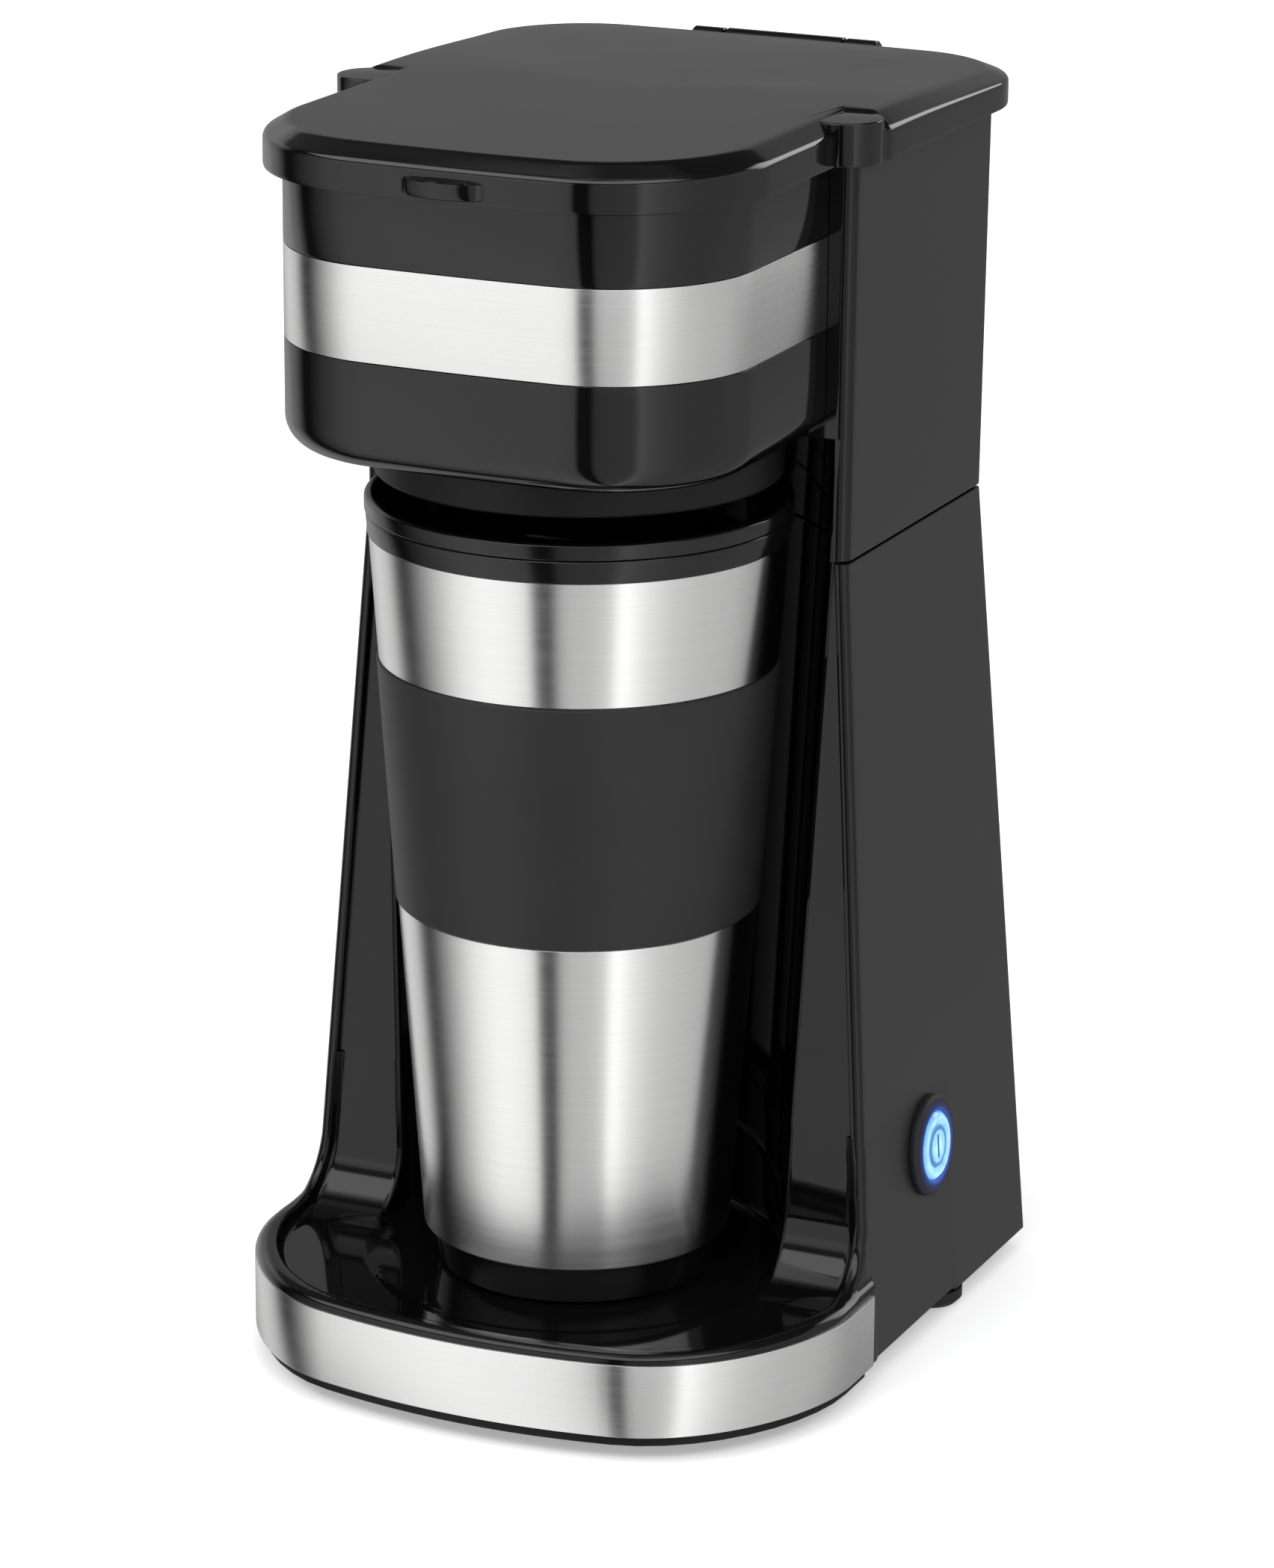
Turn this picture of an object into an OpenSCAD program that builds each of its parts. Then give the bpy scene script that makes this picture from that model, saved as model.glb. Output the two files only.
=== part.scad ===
// Single-cup drip coffee maker with its travel mug.
// The machine rests on z = 0, its front looks along -Y and X = 0 is its plane of symmetry.

/* [Overall] */
// Height of the closed lid's crown above the table
total_h = 275.1; // [274:0.1:277]
// Width across the steel band of the base
base_w = 137.9; // [136:0.1:140]
// Height of the rubber feet below the base plate
foot_h = 3.5; // [3:0.5:5]
// Height of the parting line between the lower and the upper housing
waist_z = 180.6; // [176:0.1:184]
// Wall of the moulded housings
wall = 2.5; // [2:0.1:3]

/* [Base] */
// Lower and upper edge of the steel band on the base
band_z0 = 5.9; // [5:0.1:7]
band_z1 = 22.1; // [21:0.1:22.6]
// Thickness of the steel bands
band_t = 0.8; // [0.5:0.1:1.2]
// Height of the floor that the mug stands on
tray_z = 21.5; // [21:0.1:21.8]
// Height of the rounded lip around the tray
lip_z = 23.9; // [23.5:0.1:24.2]
// Radius of the front corners of the base, and how far its front bows out
base_corner_r = 35.5; // [30:0.5:40]
base_bow = 15.3; // [12:0.1:16]

/* [Tower] */
// Half width of the tower at the table, at the waist and at the top
tower_w0 = 68.2; // [66:0.1:68.5]
tower_w1 = 56.3; // [55:0.1:57]
tower_w2 = 56.8; // [56:0.1:58]
// Front face of the arms at the table and from the waist up
arm_y0 = -18.5; // [-20:0.1:-17]
arm_y1 = -10.8; // [-12:0.1:-10]
// Middle of the back wall at the table, at the waist and at the top
back_y0 = 87.4; // [86:0.1:87.5]
back_y1 = 73.0; // [72:0.1:74]
back_y2 = 73.8; // [73:0.1:75]
// Radius of the bowed back wall
back_r = 180; // [150:1:220]
// Radius of the mug bay at the tray and at the waist
bay_r0 = 45.6; // [44:0.1:47]
bay_r1 = 53.2; // [52:0.1:53.4]
// Radius of the hollow fillet at the foot of each arm
arm_fillet = 15; // [10:1:18]

/* [Brew head] */
// Lower edge and upper edge of the head
head_z0 = 207; // [206:0.1:208]
head_z1 = 264.3; // [264:0.1:264.5]
// Half width of the head, and its corner radius
head_w = 51; // [50:0.1:52]
head_corner_r = 29.2; // [26:0.1:31]
// Lower and upper edge of the steel band on the head
head_band_z0 = 229.9; // [229:0.1:231]
head_band_z1 = 249.5; // [248:0.1:250]
// Outer radius and lower edge of the round skirt under the head
skirt_r = 43; // [42:0.1:43.2]
skirt_z = 197.5; // [197:0.1:199]

/* [Lid] */
// Lower edge of the lid's rim
lid_z0 = 265; // [264.8:0.1:265.5]
// Half width of the lid over the head and over the tank
lid_w_front = 54.8; // [54:0.1:55.5]
lid_w_rear = 62; // [61:0.1:63]
// Foremost and rearmost line of the lid
lid_y0 = -84.6; // [-85:0.1:-84]
lid_y1 = 83; // [82:0.1:83.5]
// Hinge axis of the lid
hinge_y = 84; // [83.8:0.1:84]
hinge_z = 269; // [268.8:0.1:269.4]
// Radius of the hinge pin
pin_r = 1.25; // [1:0.05:1.5]

/* [Mug] */
// Where the mug's axis stands behind the middle of the machine
mug_y = -21.5; // [-22:0.1:-21]
// Lower and upper edge of the steel wall
mug_z0 = 30.1; // [30:0.1:31]
mug_z1 = 184.2; // [184:0.1:185]
// Outer radius of the steel wall at those edges
mug_r0 = 33.1; // [33:0.1:33.5]
mug_r1 = 44.2; // [44:0.1:44.5]
// Lower and upper edge of the soft grip
grip_z0 = 103.9; // [100:0.1:106]
grip_z1 = 157; // [155:0.1:160]
// Upper edge of the collar and of the mug's lid
collar_z = 189.2; // [189:0.1:190]
mug_lid_z = 192.7; // [192:0.1:193]

/* [Button] */
// Height and depth position of the power button on the right side
button_z = 43.2; // [40:0.1:46]
button_y = 19.6; // [18:0.1:24]
// Radius of the soft bezel and of the lit cap
bezel_r = 11.2; // [10:0.1:12]
cap_r = 7.6; // [7:0.1:8]
// How far the bezel stands out of the side
bezel_proud = 2.2; // [1.5:0.1:3]

/* [Hidden] */
$fn = 96;
fine = 48;
gap = 0.3;
eps = 0.01;
waist_gap = 0.4;
tank_z0 = 150;
tank_z1 = 261;
tank_x0 = -32;
tank_x1 = 50;
tank_y0 = 36;
hose_r = 5.2;
bore_r = 3.2;
inlet_x = 18;
outlet_x = -18;
riser_x = -46;
hose_y = 45;
heater_z = 24;
element_z = 13.5;
ring_y = 56;
chamber_r = 46.6;
chamber_z = 209.6;
foot_front = [46, -48];
foot_rear = [60, 36];
foot_r = 7.3;
side_tilt = atan((tower_w0 - tower_w1) / waist_z);
gland_x = -30;
gland_z = 24;
gland_y = 84.6;

// ---- outlines ----

// Arc points around [x, y] from angle a0 to a1
function arc(x, y, r, a0, a1, n) = [for (i = [0:n]) let (a = a0 + (a1 - a0) * i / n)
    [x + r * cos(a), y + r * sin(a)]];

// How far a bowed edge stands out at x, on an outline of half width w
function bow_at(x, w, bow) = bow * max(0, 1 - x * x / (w * w));

// Outline with rounded, bowed front corners at yf and rounded, bowed rear corners at yr
function plan(w, yf, yr, rf, rr, bow_f, bow_r) = concat(
    [for (p = arc(-w + rf, yf + rf, rf, 180, 270, 10)) [p[0], p[1] - bow_at(p[0], w, bow_f)]],
    [for (i = [1:11]) let (x = (w - rf) * (i / 6 - 1)) [x, yf - bow_at(x, w, bow_f)]],
    [for (p = arc(w - rf, yf + rf, rf, 270, 360, 10)) [p[0], p[1] - bow_at(p[0], w, bow_f)]],
    [for (p = arc(w - rr, yr - rr, rr, 0, 90, 8)) [p[0], p[1] + bow_at(p[0], w, bow_r)]],
    [for (i = [1:11]) let (x = (w - rr) * (1 - i / 6)) [x, yr + bow_at(x, w, bow_r)]],
    [for (p = arc(-w + rr, yr - rr, rr, 90, 180, 8)) [p[0], p[1] + bow_at(p[0], w, bow_r)]]);

// Outline of the base, inset by d
module base_plan(d) {
    polygon(plan(base_w / 2 - d, -65.3 + d, -14, base_corner_r - d, 2, base_bow, 0));
}

// Outline of the brew head, inset by d
module head_plan(d) {
    polygon(plan(head_w - d, -77.5 + d, arm_y1 - gap, head_corner_r - d, 1, 2.6, 0));
}

// ---- shared solids ----

// A stretch of the tower from z0 to z1, with walls leaning in straight lines and a bowed back
module tower(z0, z1, w0, w1, f0, f1, b0, b1, r) {
    lean = atan((b0 - b1) / (z1 - z0));
    intersection() {
        rotate([90, 0, 0]) translate([0, 0, -120]) linear_extrude(240)
            polygon([[-w0, z0], [w0, z0], [w1, z1], [-w1, z1]]);
        rotate([90, 0, 90]) translate([0, 0, -90]) linear_extrude(180)
            polygon([[f0, z0], [120, z0], [120, z1], [f1, z1]]);
        translate([0, b0 - r / cos(lean), z0]) rotate([lean, 0, 0]) translate([0, 0, -20])
            cylinder(r = r, h = z1 - z0 + 40, $fn = 240);
    }
}

// Straight-line values of the lower tower at height z
function lower_w(z) = tower_w0 + (tower_w1 - tower_w0) * z / waist_z;
function lower_f(z) = arm_y0 + (arm_y1 - arm_y0) * z / waist_z;
function lower_b(z) = back_y0 + (back_y1 - back_y0) * z / waist_z;

// The lower tower between two heights, inset by d
module lower_tower(z0, z1, d) {
    tower(z0, z1, lower_w(z0) - d, lower_w(z1) - d, lower_f(z0) + d, lower_f(z1) + d,
        lower_b(z0) - d, lower_b(z1) - d, back_r - d);
}

// The upper tower between two heights, inset by d
module upper_tower(z0, z1, d) {
    tower(z0, z1, tower_w1 - d, tower_w2 - d, arm_y1 + d, arm_y1 + d,
        back_y1 - d, back_y2 - d, back_r - d);
}

// Round hollow for the mug, grown by d, from z0 to z1
module bay(z0, z1, d) {
    slope = (bay_r1 - bay_r0) / (waist_z - tray_z);
    translate([0, mug_y, z0])
        cylinder(r1 = bay_r0 + d + slope * (z0 - tray_z), r2 = bay_r0 + d + slope * (z1 - tray_z),
            h = z1 - z0);
}

// Moves a piece drawn along +Z so that it points out of the right side at the button
module at_button() {
    translate([lower_w(button_z), button_y, button_z]) rotate([0, 90 - side_tilt, 0]) children();
}

// Round bar between two points
module bar(a, b, r) {
    d = b - a;
    translate(a) rotate([0, acos(d[2] / norm(d)), atan2(d[1], d[0])]) cylinder(r = r, h = norm(d), $fn = fine);
}

// Quarter bend of bend radius big from straight up, at the origin, to level along +X
module bend(r, big) {
    intersection() {
        translate([big, 0, 0]) rotate([90, 0, 0]) rotate_extrude() translate([big, 0]) circle(r = r, $fn = fine);
        translate([-big, -big, 0]) cube([2 * big, 2 * big, 2 * big]);
    }
}

// U-shaped round bar lying at height z, with its legs towards the front
module u_bar(z, r, y_end) {
    intersection() {
        translate([0, ring_y, z]) rotate_extrude() translate([inlet_x, 0]) circle(r = r, $fn = fine);
        translate([-40, ring_y, z - 20]) cube([80, 60, 40]);
    }
    for (x = [outlet_x, inlet_x]) translate([x, y_end, z]) rotate([-90, 0, 0])
        cylinder(r = r, h = ring_y - y_end, $fn = fine);
}

// ---- housings ----

// Base with its tray, and the lower tower with its two arms
module lower_housing() {
    z0 = foot_h + 1;
    z1 = waist_z - waist_gap / 2;
    color("#1b1b1c") difference() {
        union() {
            lower_tower(z0, z1, 0);
            bar([gland_x, 72, gland_z], [gland_x, gland_y, gland_z], 9.5);
            translate([0, 0, band_z0]) linear_extrude(band_z1 - band_z0) base_plan(band_t);
            translate([0, 0, band_z1]) linear_extrude(lip_z - band_z1) base_plan(0.9);
            arm_feet();
        }
        translate([0, 0, tray_z]) linear_extrude(20) tray_plan();
        bay(tray_z, 220, 0);
        difference() {
            union() {
                lower_tower(z0 - 1, waist_z + 1, wall);
                translate([0, 0, -1]) linear_extrude(tray_z - wall + 1) base_plan(3.2);
            }
            bay(tray_z - wall, 220, wall);
        }
        bar([gland_x, 60, gland_z], [gland_x, 100, gland_z], 6.15);
        at_button() translate([0, 0, -20]) cylinder(r = 9.2, h = 40, $fn = fine);
    }
    color("#1b1b1c") screw_posts();
    color("#1b1b1c") tank_ribs();
}

// Recessed floor of the tray in front of the arms
module tray_plan() {
    intersection() {
        base_plan(5.2);
        translate([-80, -90]) square([160, 90 + lower_f(tray_z) - arm_fillet + 1]);
    }
}

// Hollow fillets that lead from the arms' faces down to the lip
module arm_feet() {
    yf = lower_f(lip_z) + 0.5;
    intersection() {
        difference() {
            translate([-80, yf - arm_fillet, band_z1]) cube([160, arm_fillet + 6, arm_fillet + lip_z - band_z1]);
            translate([-90, yf - arm_fillet, lip_z + arm_fillet]) rotate([0, 90, 0])
                cylinder(r = arm_fillet, h = 180);
        }
        translate([0, 0, 10]) linear_extrude(60)
            polygon([[-lower_w(30), 0], [lower_w(30), 0], [lower_w(30), -50], [-lower_w(30), -50]]);
        translate([0, 0, 10]) linear_extrude(60) base_plan(0.9);
    }
}

// Bottom opening of the tower, inset by d
module rear_plan(d) {
    intersection() {
        translate([-lower_w(5) + d, -30]) square([2 * (lower_w(5) - d), 130]);
        translate([0, back_y0 - back_r - 0.5]) circle(r = back_r - d, $fn = 240);
    }
}

// Posts that the base plate is screwed to, the rear ones on ribs from the side walls
module screw_posts() {
    for (s = [-1, 1]) {
        post([s * 50, -36], 19.2);
        post([s * 44, 66], 30);
        translate([s * 55.5 - 9.5, 64.8, 9]) cube([19, 2.4, 21]);
    }
}

module post(at, h) {
    translate([at[0], at[1], foot_h + 2.4]) difference() {
        cylinder(r = 4, h = h - foot_h - 2.4, $fn = fine);
        translate([0, 0, -1]) cylinder(r = 1.3, h = 12, $fn = 24);
    }
}

// Ribs on the back wall and on the bay's wall that carry the tank
module tank_ribs() {
    intersection() {
        lower_tower(136, tank_z0, wall - 0.6);
        union() {
            for (x = [-21, 40]) translate([x, 58, 138]) cube([2.4, 30, tank_z0 - 138]);
            for (x = [-14, 6]) translate([x, 31.4, 138]) cube([2.4, 9, tank_z0 - 138]);
        }
    }
}

// Upper tower around the tank, with the seat of the head and the hinge block
module upper_housing() {
    z0 = waist_z + waist_gap / 2;
    color("#1d1d1e") difference() {
        union() {
            upper_tower(z0, head_z1, 0);
            tower(waist_z - waist_gap / 2, z0 + 0.1, tower_w1 - 1.2, tower_w1 - 1.2, arm_y1 + 1.2,
                arm_y1 + 1.2, back_y1 - 1.2, back_y1 - 1.2, back_r);
            translate([-14, 68, 256]) cube([28, hinge_y - 68, 13.2]);
            bar([-14, hinge_y, hinge_z], [14, hinge_y, hinge_z], 3.5);
        }
        bay(z0 - 2, head_z0, 0);
        bay(z0 - 2, z0, 1.2);
        difference() {
            upper_tower(z0 - 1, head_z1 + 1, wall);
            bay(z0 - 2, chamber_z, wall);
        }
        translate([0, mug_y, head_z0 - 2]) cylinder(r = skirt_r + gap, h = 20);
        translate([0, mug_y, chamber_z]) cylinder(r = chamber_r + gap, h = 80);
        bar([-30, hinge_y, hinge_z], [30, hinge_y, hinge_z], pin_r);
        translate([-15, hinge_y - 3.5, 250]) cube([30, 10, 9]);
    }
}

// Bottom cover, with the recesses for the feet and the screws
module base_plate() {
    color("#161616") difference() {
        union() {
            translate([0, 0, foot_h]) linear_extrude(2.4) {
                intersection() {
                    base_plan(1.6);
                    translate([-80, -90]) square([160, 71]);
                }
                rear_plan(3);
            }
            for (s = [-1, 1]) {
                translate([s * 34, 62, foot_h + 2]) cylinder(r = 3.5, h = 3.2, $fn = fine);
                translate([s * inlet_x, 50, foot_h + 2]) cylinder(r = 3, h = element_z - 5.6 - foot_h, $fn = fine);
            }
        }
        for (s = [-1, 1], at = [foot_front, foot_rear])
            translate([s * at[0], at[1], 0]) cylinder(r = 2.5, h = 20, $fn = fine);
        for (s = [-1, 1], at = [[50, -36], [44, 66]])
            translate([s * at[0], at[1], 0]) cylinder(r = 1.8, h = 20, $fn = 24);
        for (x = [-20:8:20], y = [-20, -8, 4])
            translate([x, y, 0]) cylinder(r = 1.8, h = 20, $fn = 24);
    }
}

// Four rubber feet with studs that push into the base plate
module rubber_feet() {
    color("#121212") for (s = [-1, 1], at = [foot_front, foot_rear]) translate([s * at[0], at[1], 0]) {
        cylinder(r1 = foot_r - 1.2, r2 = foot_r, h = 1.2, $fn = fine);
        translate([0, 0, 1.2]) cylinder(r = foot_r, h = foot_h - 1.2, $fn = fine);
        translate([0, 0, foot_h]) cylinder(r = 2.5, h = 3.4, $fn = fine);
    }
}

// Self-tapping screws that hold the base plate
module base_screws() {
    color("silver") for (s = [-1, 1], at = [[50, -36], [44, 66]]) translate([s * at[0], at[1], 0]) {
        difference() {
            translate([0, 0, foot_h - 1.6]) cylinder(r = 3, h = 1.6, $fn = fine);
            for (a = [0, 90]) rotate([0, 0, a]) translate([-2, -0.4, foot_h - 2]) cube([4, 0.8, 1.3]);
        }
        translate([0, 0, foot_h]) cylinder(r = 1.3, h = 10, $fn = 24);
    }
}

// Steel strip around the front of the base
module base_band() {
    color("#c9c9ca") translate([0, 0, band_z0]) linear_extrude(band_z1 - band_z0) intersection() {
        difference() {
            base_plan(0);
            base_plan(band_t);
        }
        translate([-80, -90]) square([160, 90 - 18.1]);
    }
}

// ---- brew head ----

// Shell of the head, with the round chamber that holds the filter
module brew_head() {
    color("#151516") difference() {
        union() {
            translate([0, 0, head_z0]) linear_extrude(head_z1 - head_z0) head_plan(band_t);
            translate([0, 0, head_z0]) linear_extrude(head_band_z0 - head_z0) head_plan(0);
            translate([0, 0, head_band_z1]) linear_extrude(head_z1 - head_band_z1) head_plan(0);
            translate([0, mug_y, chamber_z]) cylinder(r = chamber_r, h = 255 - chamber_z);
        }
        translate([0, 0, 211.8]) linear_extrude(80) intersection() {
            head_plan(3.3);
            translate([-80, -90]) square([160, 90 + arm_y1 - 3]);
        }
        translate([0, mug_y, 211.8]) cylinder(r = chamber_r - 2.2, h = 80);
        translate([0, mug_y, head_z0 - 1]) cylinder(r = skirt_r + gap, h = chamber_z - head_z0 + 1);
        translate([0, mug_y, head_z0 - 1]) cylinder(r = 14, h = 30, $fn = fine);
    }
}

// Steel strip around the head
module head_band() {
    color("#c9c9ca") translate([0, 0, head_band_z0]) linear_extrude(head_band_z1 - head_band_z0) difference() {
        head_plan(0);
        head_plan(band_t);
        translate([-80, arm_y1 - gap - 1]) square([160, 20]);
    }
}

// Round skirt under the head, above the mug
module outlet_skirt() {
    color("#131313") translate([0, mug_y, 0]) difference() {
        translate([0, 0, skirt_z]) cylinder(r = skirt_r, h = chamber_z - skirt_z);
        translate([0, 0, skirt_z - 1]) cylinder(r = skirt_r - 2.2, h = chamber_z - skirt_z - 1.2);
        translate([0, 0, skirt_z - 1]) cylinder(r = 14, h = 30, $fn = fine);
    }
}

// Funnel that holds the filter and leads the coffee to the mug
module filter_holder() {
    color("#1a1a1a") translate([0, mug_y, 0]) rotate_extrude() polygon([
        [6, 203], [8.5, 203], [8.5, 211.85], [30, 211.85], [33, 214], [42.6, 250], [43.8, 250], [43.8, 252],
        [41, 252], [31.6, 216.2], [29.6, 214.3], [6, 213.2]]);
}

// Plastic frame of the permanent filter, with its lifting handle
module filter_frame() {
    color("#242424") translate([0, mug_y, 0]) {
        difference() {
            translate([0, 0, 248.2]) cylinder(r = 39.4, h = 3);
            translate([0, 0, 247]) cylinder(r = 36.4, h = 6);
        }
        difference() {
            translate([0, 0, 219]) cylinder(r1 = 31.3, r2 = 38, h = 29.2);
            translate([0, 0, 218]) cylinder(r1 = 29.9, r2 = 37, h = 31);
            for (a = [0:60:300]) rotate([0, 0, a]) translate([-13, 20, 222]) cube([26, 30, 24]);
        }
        difference() {
            translate([0, 0, 217]) cylinder(r = 31.1, h = 2);
            translate([0, 0, 216]) cylinder(r = 27, h = 4);
        }
        translate([-28, -3, 217]) cube([56, 6, 2]);
        for (s = [-1, 1]) translate([s * 37.4 - 1, -4, 250]) cube([2, 8, 4.2]);
        translate([-38.4, -4, 253]) cube([76.8, 8, 1.6]);
    }
}

// Fine steel mesh inside the frame
module filter_mesh() {
    color("#8d8f92") translate([0, mug_y, 0]) rotate_extrude() polygon([
        [0, 219.1], [29.4, 219.1], [36.1, 250], [35.6, 250], [28.9, 219.6], [0, 219.6]]);
}

// ---- lid ----

// A lid slab: an upright rim, a rolled edge and a shallow crown
module lid_slab(w, yf, yr, rf, rr, bow_f, bow_r) {
    mid = (yf + yr) / 2;
    hull() {
        translate([0, 0, lid_z0]) linear_extrude(total_h - 4 - lid_z0)
            polygon(plan(w, yf, yr, rf, rr, bow_f, bow_r));
        translate([0, 0, total_h - 2]) linear_extrude(eps)
            polygon(plan(w - 1.4, yf + 1.4, yr - 1.4, rf - 1, rr - 1, bow_f, bow_r));
        translate([0, 0, total_h - 1]) linear_extrude(eps)
            polygon(plan(w - 4, yf + 4, yr - 4, rf - 3, rr - 3, bow_f, bow_r));
        translate([0, mid, total_h - eps]) linear_extrude(eps) square([w, yr - yf - 60], center = true);
    }
}

// Outline of the lid's hollow underside, inset by d
module lid_plan(d) {
    polygon(plan(lid_w_front - d, lid_y0 + 4 + d, 0, 32 - d, 1, 4, 0));
    polygon(plan(lid_w_rear - d, -7 + d, lid_y1 - 1.5 - d, 3, 26 - d, 0, 1.5));
    for (s = [-1, 1]) translate([s * 54.9, -13.6]) circle(r = 6.8 - d, $fn = fine);
}

// Lid over the head and the tank
module lid() {
    color("#262628") difference() {
        union() {
            lid_slab(lid_w_front, lid_y0 + 4, 2, 32, 1, 4, 0);
            lid_slab(lid_w_rear, -7, lid_y1 - 1.5, 3, 26, 0, 1.5);
            for (s = [-1, 1]) translate([s * 54.9, -13.6, lid_z0]) cylinder(r = 6.8, h = 7.3, $fn = fine);
            finger_tab();
            for (s = [-1, 1]) {
                bar([s * 14.5, hinge_y, hinge_z], [s * 22, hinge_y, hinge_z], 3.4);
                translate([s * 18.25 - 3.75, 78, hinge_z - 1.4]) cube([7.5, 6, 4.6]);
            }
        }
        translate([0, 0, lid_z0 - 1]) linear_extrude(total_h - 3.4 - lid_z0) lid_plan(2.4);
        translate([-14.5, 66, lid_z0 - 1]) cube([29, 30, 6.2]);
        bar([-14.5, hinge_y, hinge_z], [14.5, hinge_y, hinge_z], 3.9);
        bar([-30, hinge_y, hinge_z], [30, hinge_y, hinge_z], pin_r + 0.05);
    }
}

// Finger tab on the lid's front edge
module finger_tab() {
    translate([0, lid_y0 - 2.9, lid_z0 + 1.4]) linear_extrude(3.2)
        polygon(plan(10.5, 1.2, 8, 3, 0.5, 1.2, 0));
}

// Steel pin of the lid's hinge
module hinge_pin() {
    color("silver") bar([-22, hinge_y, hinge_z], [22, hinge_y, hinge_z], pin_r);
}

// Dish under the lid that spreads the hot water over the filter
module shower_plate() {
    color("#d8d8d6") translate([0, mug_y, 0]) difference() {
        union() {
            translate([0, 0, 256]) cylinder(r = 33, h = 4);
            for (a = [45:90:315]) rotate([0, 0, a]) translate([22, 0, 257])
                cylinder(r = 2.4, h = total_h - 4.4 - 257, $fn = fine);
        }
        translate([0, 0, 258]) difference() {
            cylinder(r = 31.4, h = 4);
            for (a = [45:90:315]) rotate([0, 0, a]) translate([22, 0, -1]) cylinder(r = 2.4, h = 6, $fn = fine);
        }
        for (a = [0:45:315]) rotate([0, 0, a]) translate([14, 0, 250]) cylinder(r = 1.5, h = 20, $fn = 24);
        for (a = [0:90:270]) rotate([0, 0, a]) translate([6, 0, 250]) cylinder(r = 1.5, h = 20, $fn = 24);
    }
}

// ---- water path ----

// Outline of the tank, inset by d
module tank_plan(d) {
    intersection() {
        translate([tank_x0 + d, tank_y0 + d]) square([tank_x1 - tank_x0 - 2 * d, 60]);
        translate([0, 69 - back_r]) circle(r = back_r - d, $fn = 240);
    }
}

// Fixed water tank, open at the top
module water_tank() {
    color("#5d6468") difference() {
        translate([0, 0, tank_z0]) linear_extrude(tank_z1 - tank_z0) tank_plan(0);
        translate([0, 0, tank_z0 + 2.2]) linear_extrude(tank_z1) tank_plan(2);
        translate([inlet_x, hose_y, tank_z0 - 1]) cylinder(r = 4.2, h = 10, $fn = fine);
    }
}

// Strainer over the tank's outlet
module tank_strainer() {
    color("white") translate([inlet_x, hose_y, tank_z0 + 2.2]) difference() {
        cylinder(r = 6.5, h = 4, $fn = fine);
        translate([0, 0, -1]) cylinder(r = 5.3, h = 4, $fn = fine);
        for (a = [0:60:300]) rotate([0, 0, a]) translate([3, 0, 1]) cylinder(r = 0.8, h = 6, $fn = 24);
        for (a = [0:30:150]) rotate([0, 0, a]) translate([-8, -0.6, 0.6]) cube([16, 1.2, 1.6]);
    }
}

// Non-return valve below the tank: the ball drops onto a slotted ledge and rises against a cone
module valve_seat() {
    color("#e6e2d8") translate([inlet_x, hose_y, 0]) difference() {
        union() {
            translate([0, 0, 133]) cylinder(r = 6, h = tank_z0 - 133, $fn = fine);
            translate([0, 0, 122]) cylinder(r = bore_r - 0.02, h = 11, $fn = fine);
            translate([0, 0, tank_z0]) cylinder(r = 4.15, h = 2.2, $fn = fine);
        }
        translate([0, 0, 120]) cylinder(r = 2, h = 40, $fn = fine);
        translate([0, 0, 136]) cylinder(r = 4.4, h = 8, $fn = fine);
        translate([0, 0, 144]) cylinder(r1 = 4.4, r2 = 2, h = 3, $fn = fine);
        for (a = [0, 90]) rotate([0, 0, a]) translate([-4, -0.7, 134.6]) cube([8, 1.4, 2]);
    }
}

// Ball of the non-return valve
module valve_ball() {
    color("#b8bcc0") translate([inlet_x, hose_y, 138.6]) sphere(r = 3.2, $fn = fine);
}

// Silicone hose from the valve to the heater
module inlet_hose() {
    color("#d9d4c8") difference() {
        bar([inlet_x, hose_y, 38], [inlet_x, hose_y, 132.8], hose_r);
        bar([inlet_x, hose_y, 30], [inlet_x, hose_y, 140], bore_r);
    }
}

// Where the riser hose stands at height z: over the heater below, beside the tank above
function riser_at(z) = let (t = min(1, max(0, (z - 50) / 70)))
    outlet_x + (riser_x - outlet_x) * (1 - cos(180 * t)) / 2;

// Silicone hose from the heater up beside the tank, swept as level rings of 12 points
module riser_hose() {
    levels = concat([38], [for (z = [50:5:120]) z], [238]);
    sides = 12;
    n = len(levels);
    points = [for (r = [hose_r, bore_r / cos(180 / sides)], z = levels, i = [0:sides - 1])
        [riser_at(z) + r * cos(360 * i / sides), hose_y + r * sin(360 * i / sides), z]];
    rings = [for (shell = [0, 1], k = [0:n - 2], i = [0:sides - 1])
        let (j = (i + 1) % sides, low = (shell * n + k) * sides, up = low + sides)
        shell == 0 ? [low + i, up + i, up + j, low + j] : [low + j, up + j, up + i, low + i]];
    ends = [for (k = [0, n - 1], i = [0:sides - 1])
        let (j = (i + 1) % sides, out = k * sides, in = (n + k) * sides)
        k == 0 ? [out + i, out + j, in + j, in + i] : [out + j, out + i, in + i, in + j]];
    color("#d9d4c8") polyhedron(points = points, faces = concat(rings, ends), convexity = 6);
}

// Spring clips on the ends of the hoses
module hose_clips() {
    color("#a9adb0") {
        clip([inlet_x, hose_y, 42]);
        clip([outlet_x, hose_y, 42]);
        clip([inlet_x, hose_y, 126]);
        clip([riser_x, hose_y, 230]);
    }
}

module clip(at) {
    translate(at) difference() {
        union() {
            cylinder(r = hose_r + 1, h = 5, $fn = fine);
            for (s = [-1, 1]) translate([s * 2.6 - 0.5, 4, 0]) cube([1, 6, 5]);
        }
        translate([0, 0, -1]) cylinder(r = hose_r, h = 7, $fn = fine);
        translate([-1.6, 4, -1]) cube([3.2, 7, 7]);
    }
}

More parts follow.
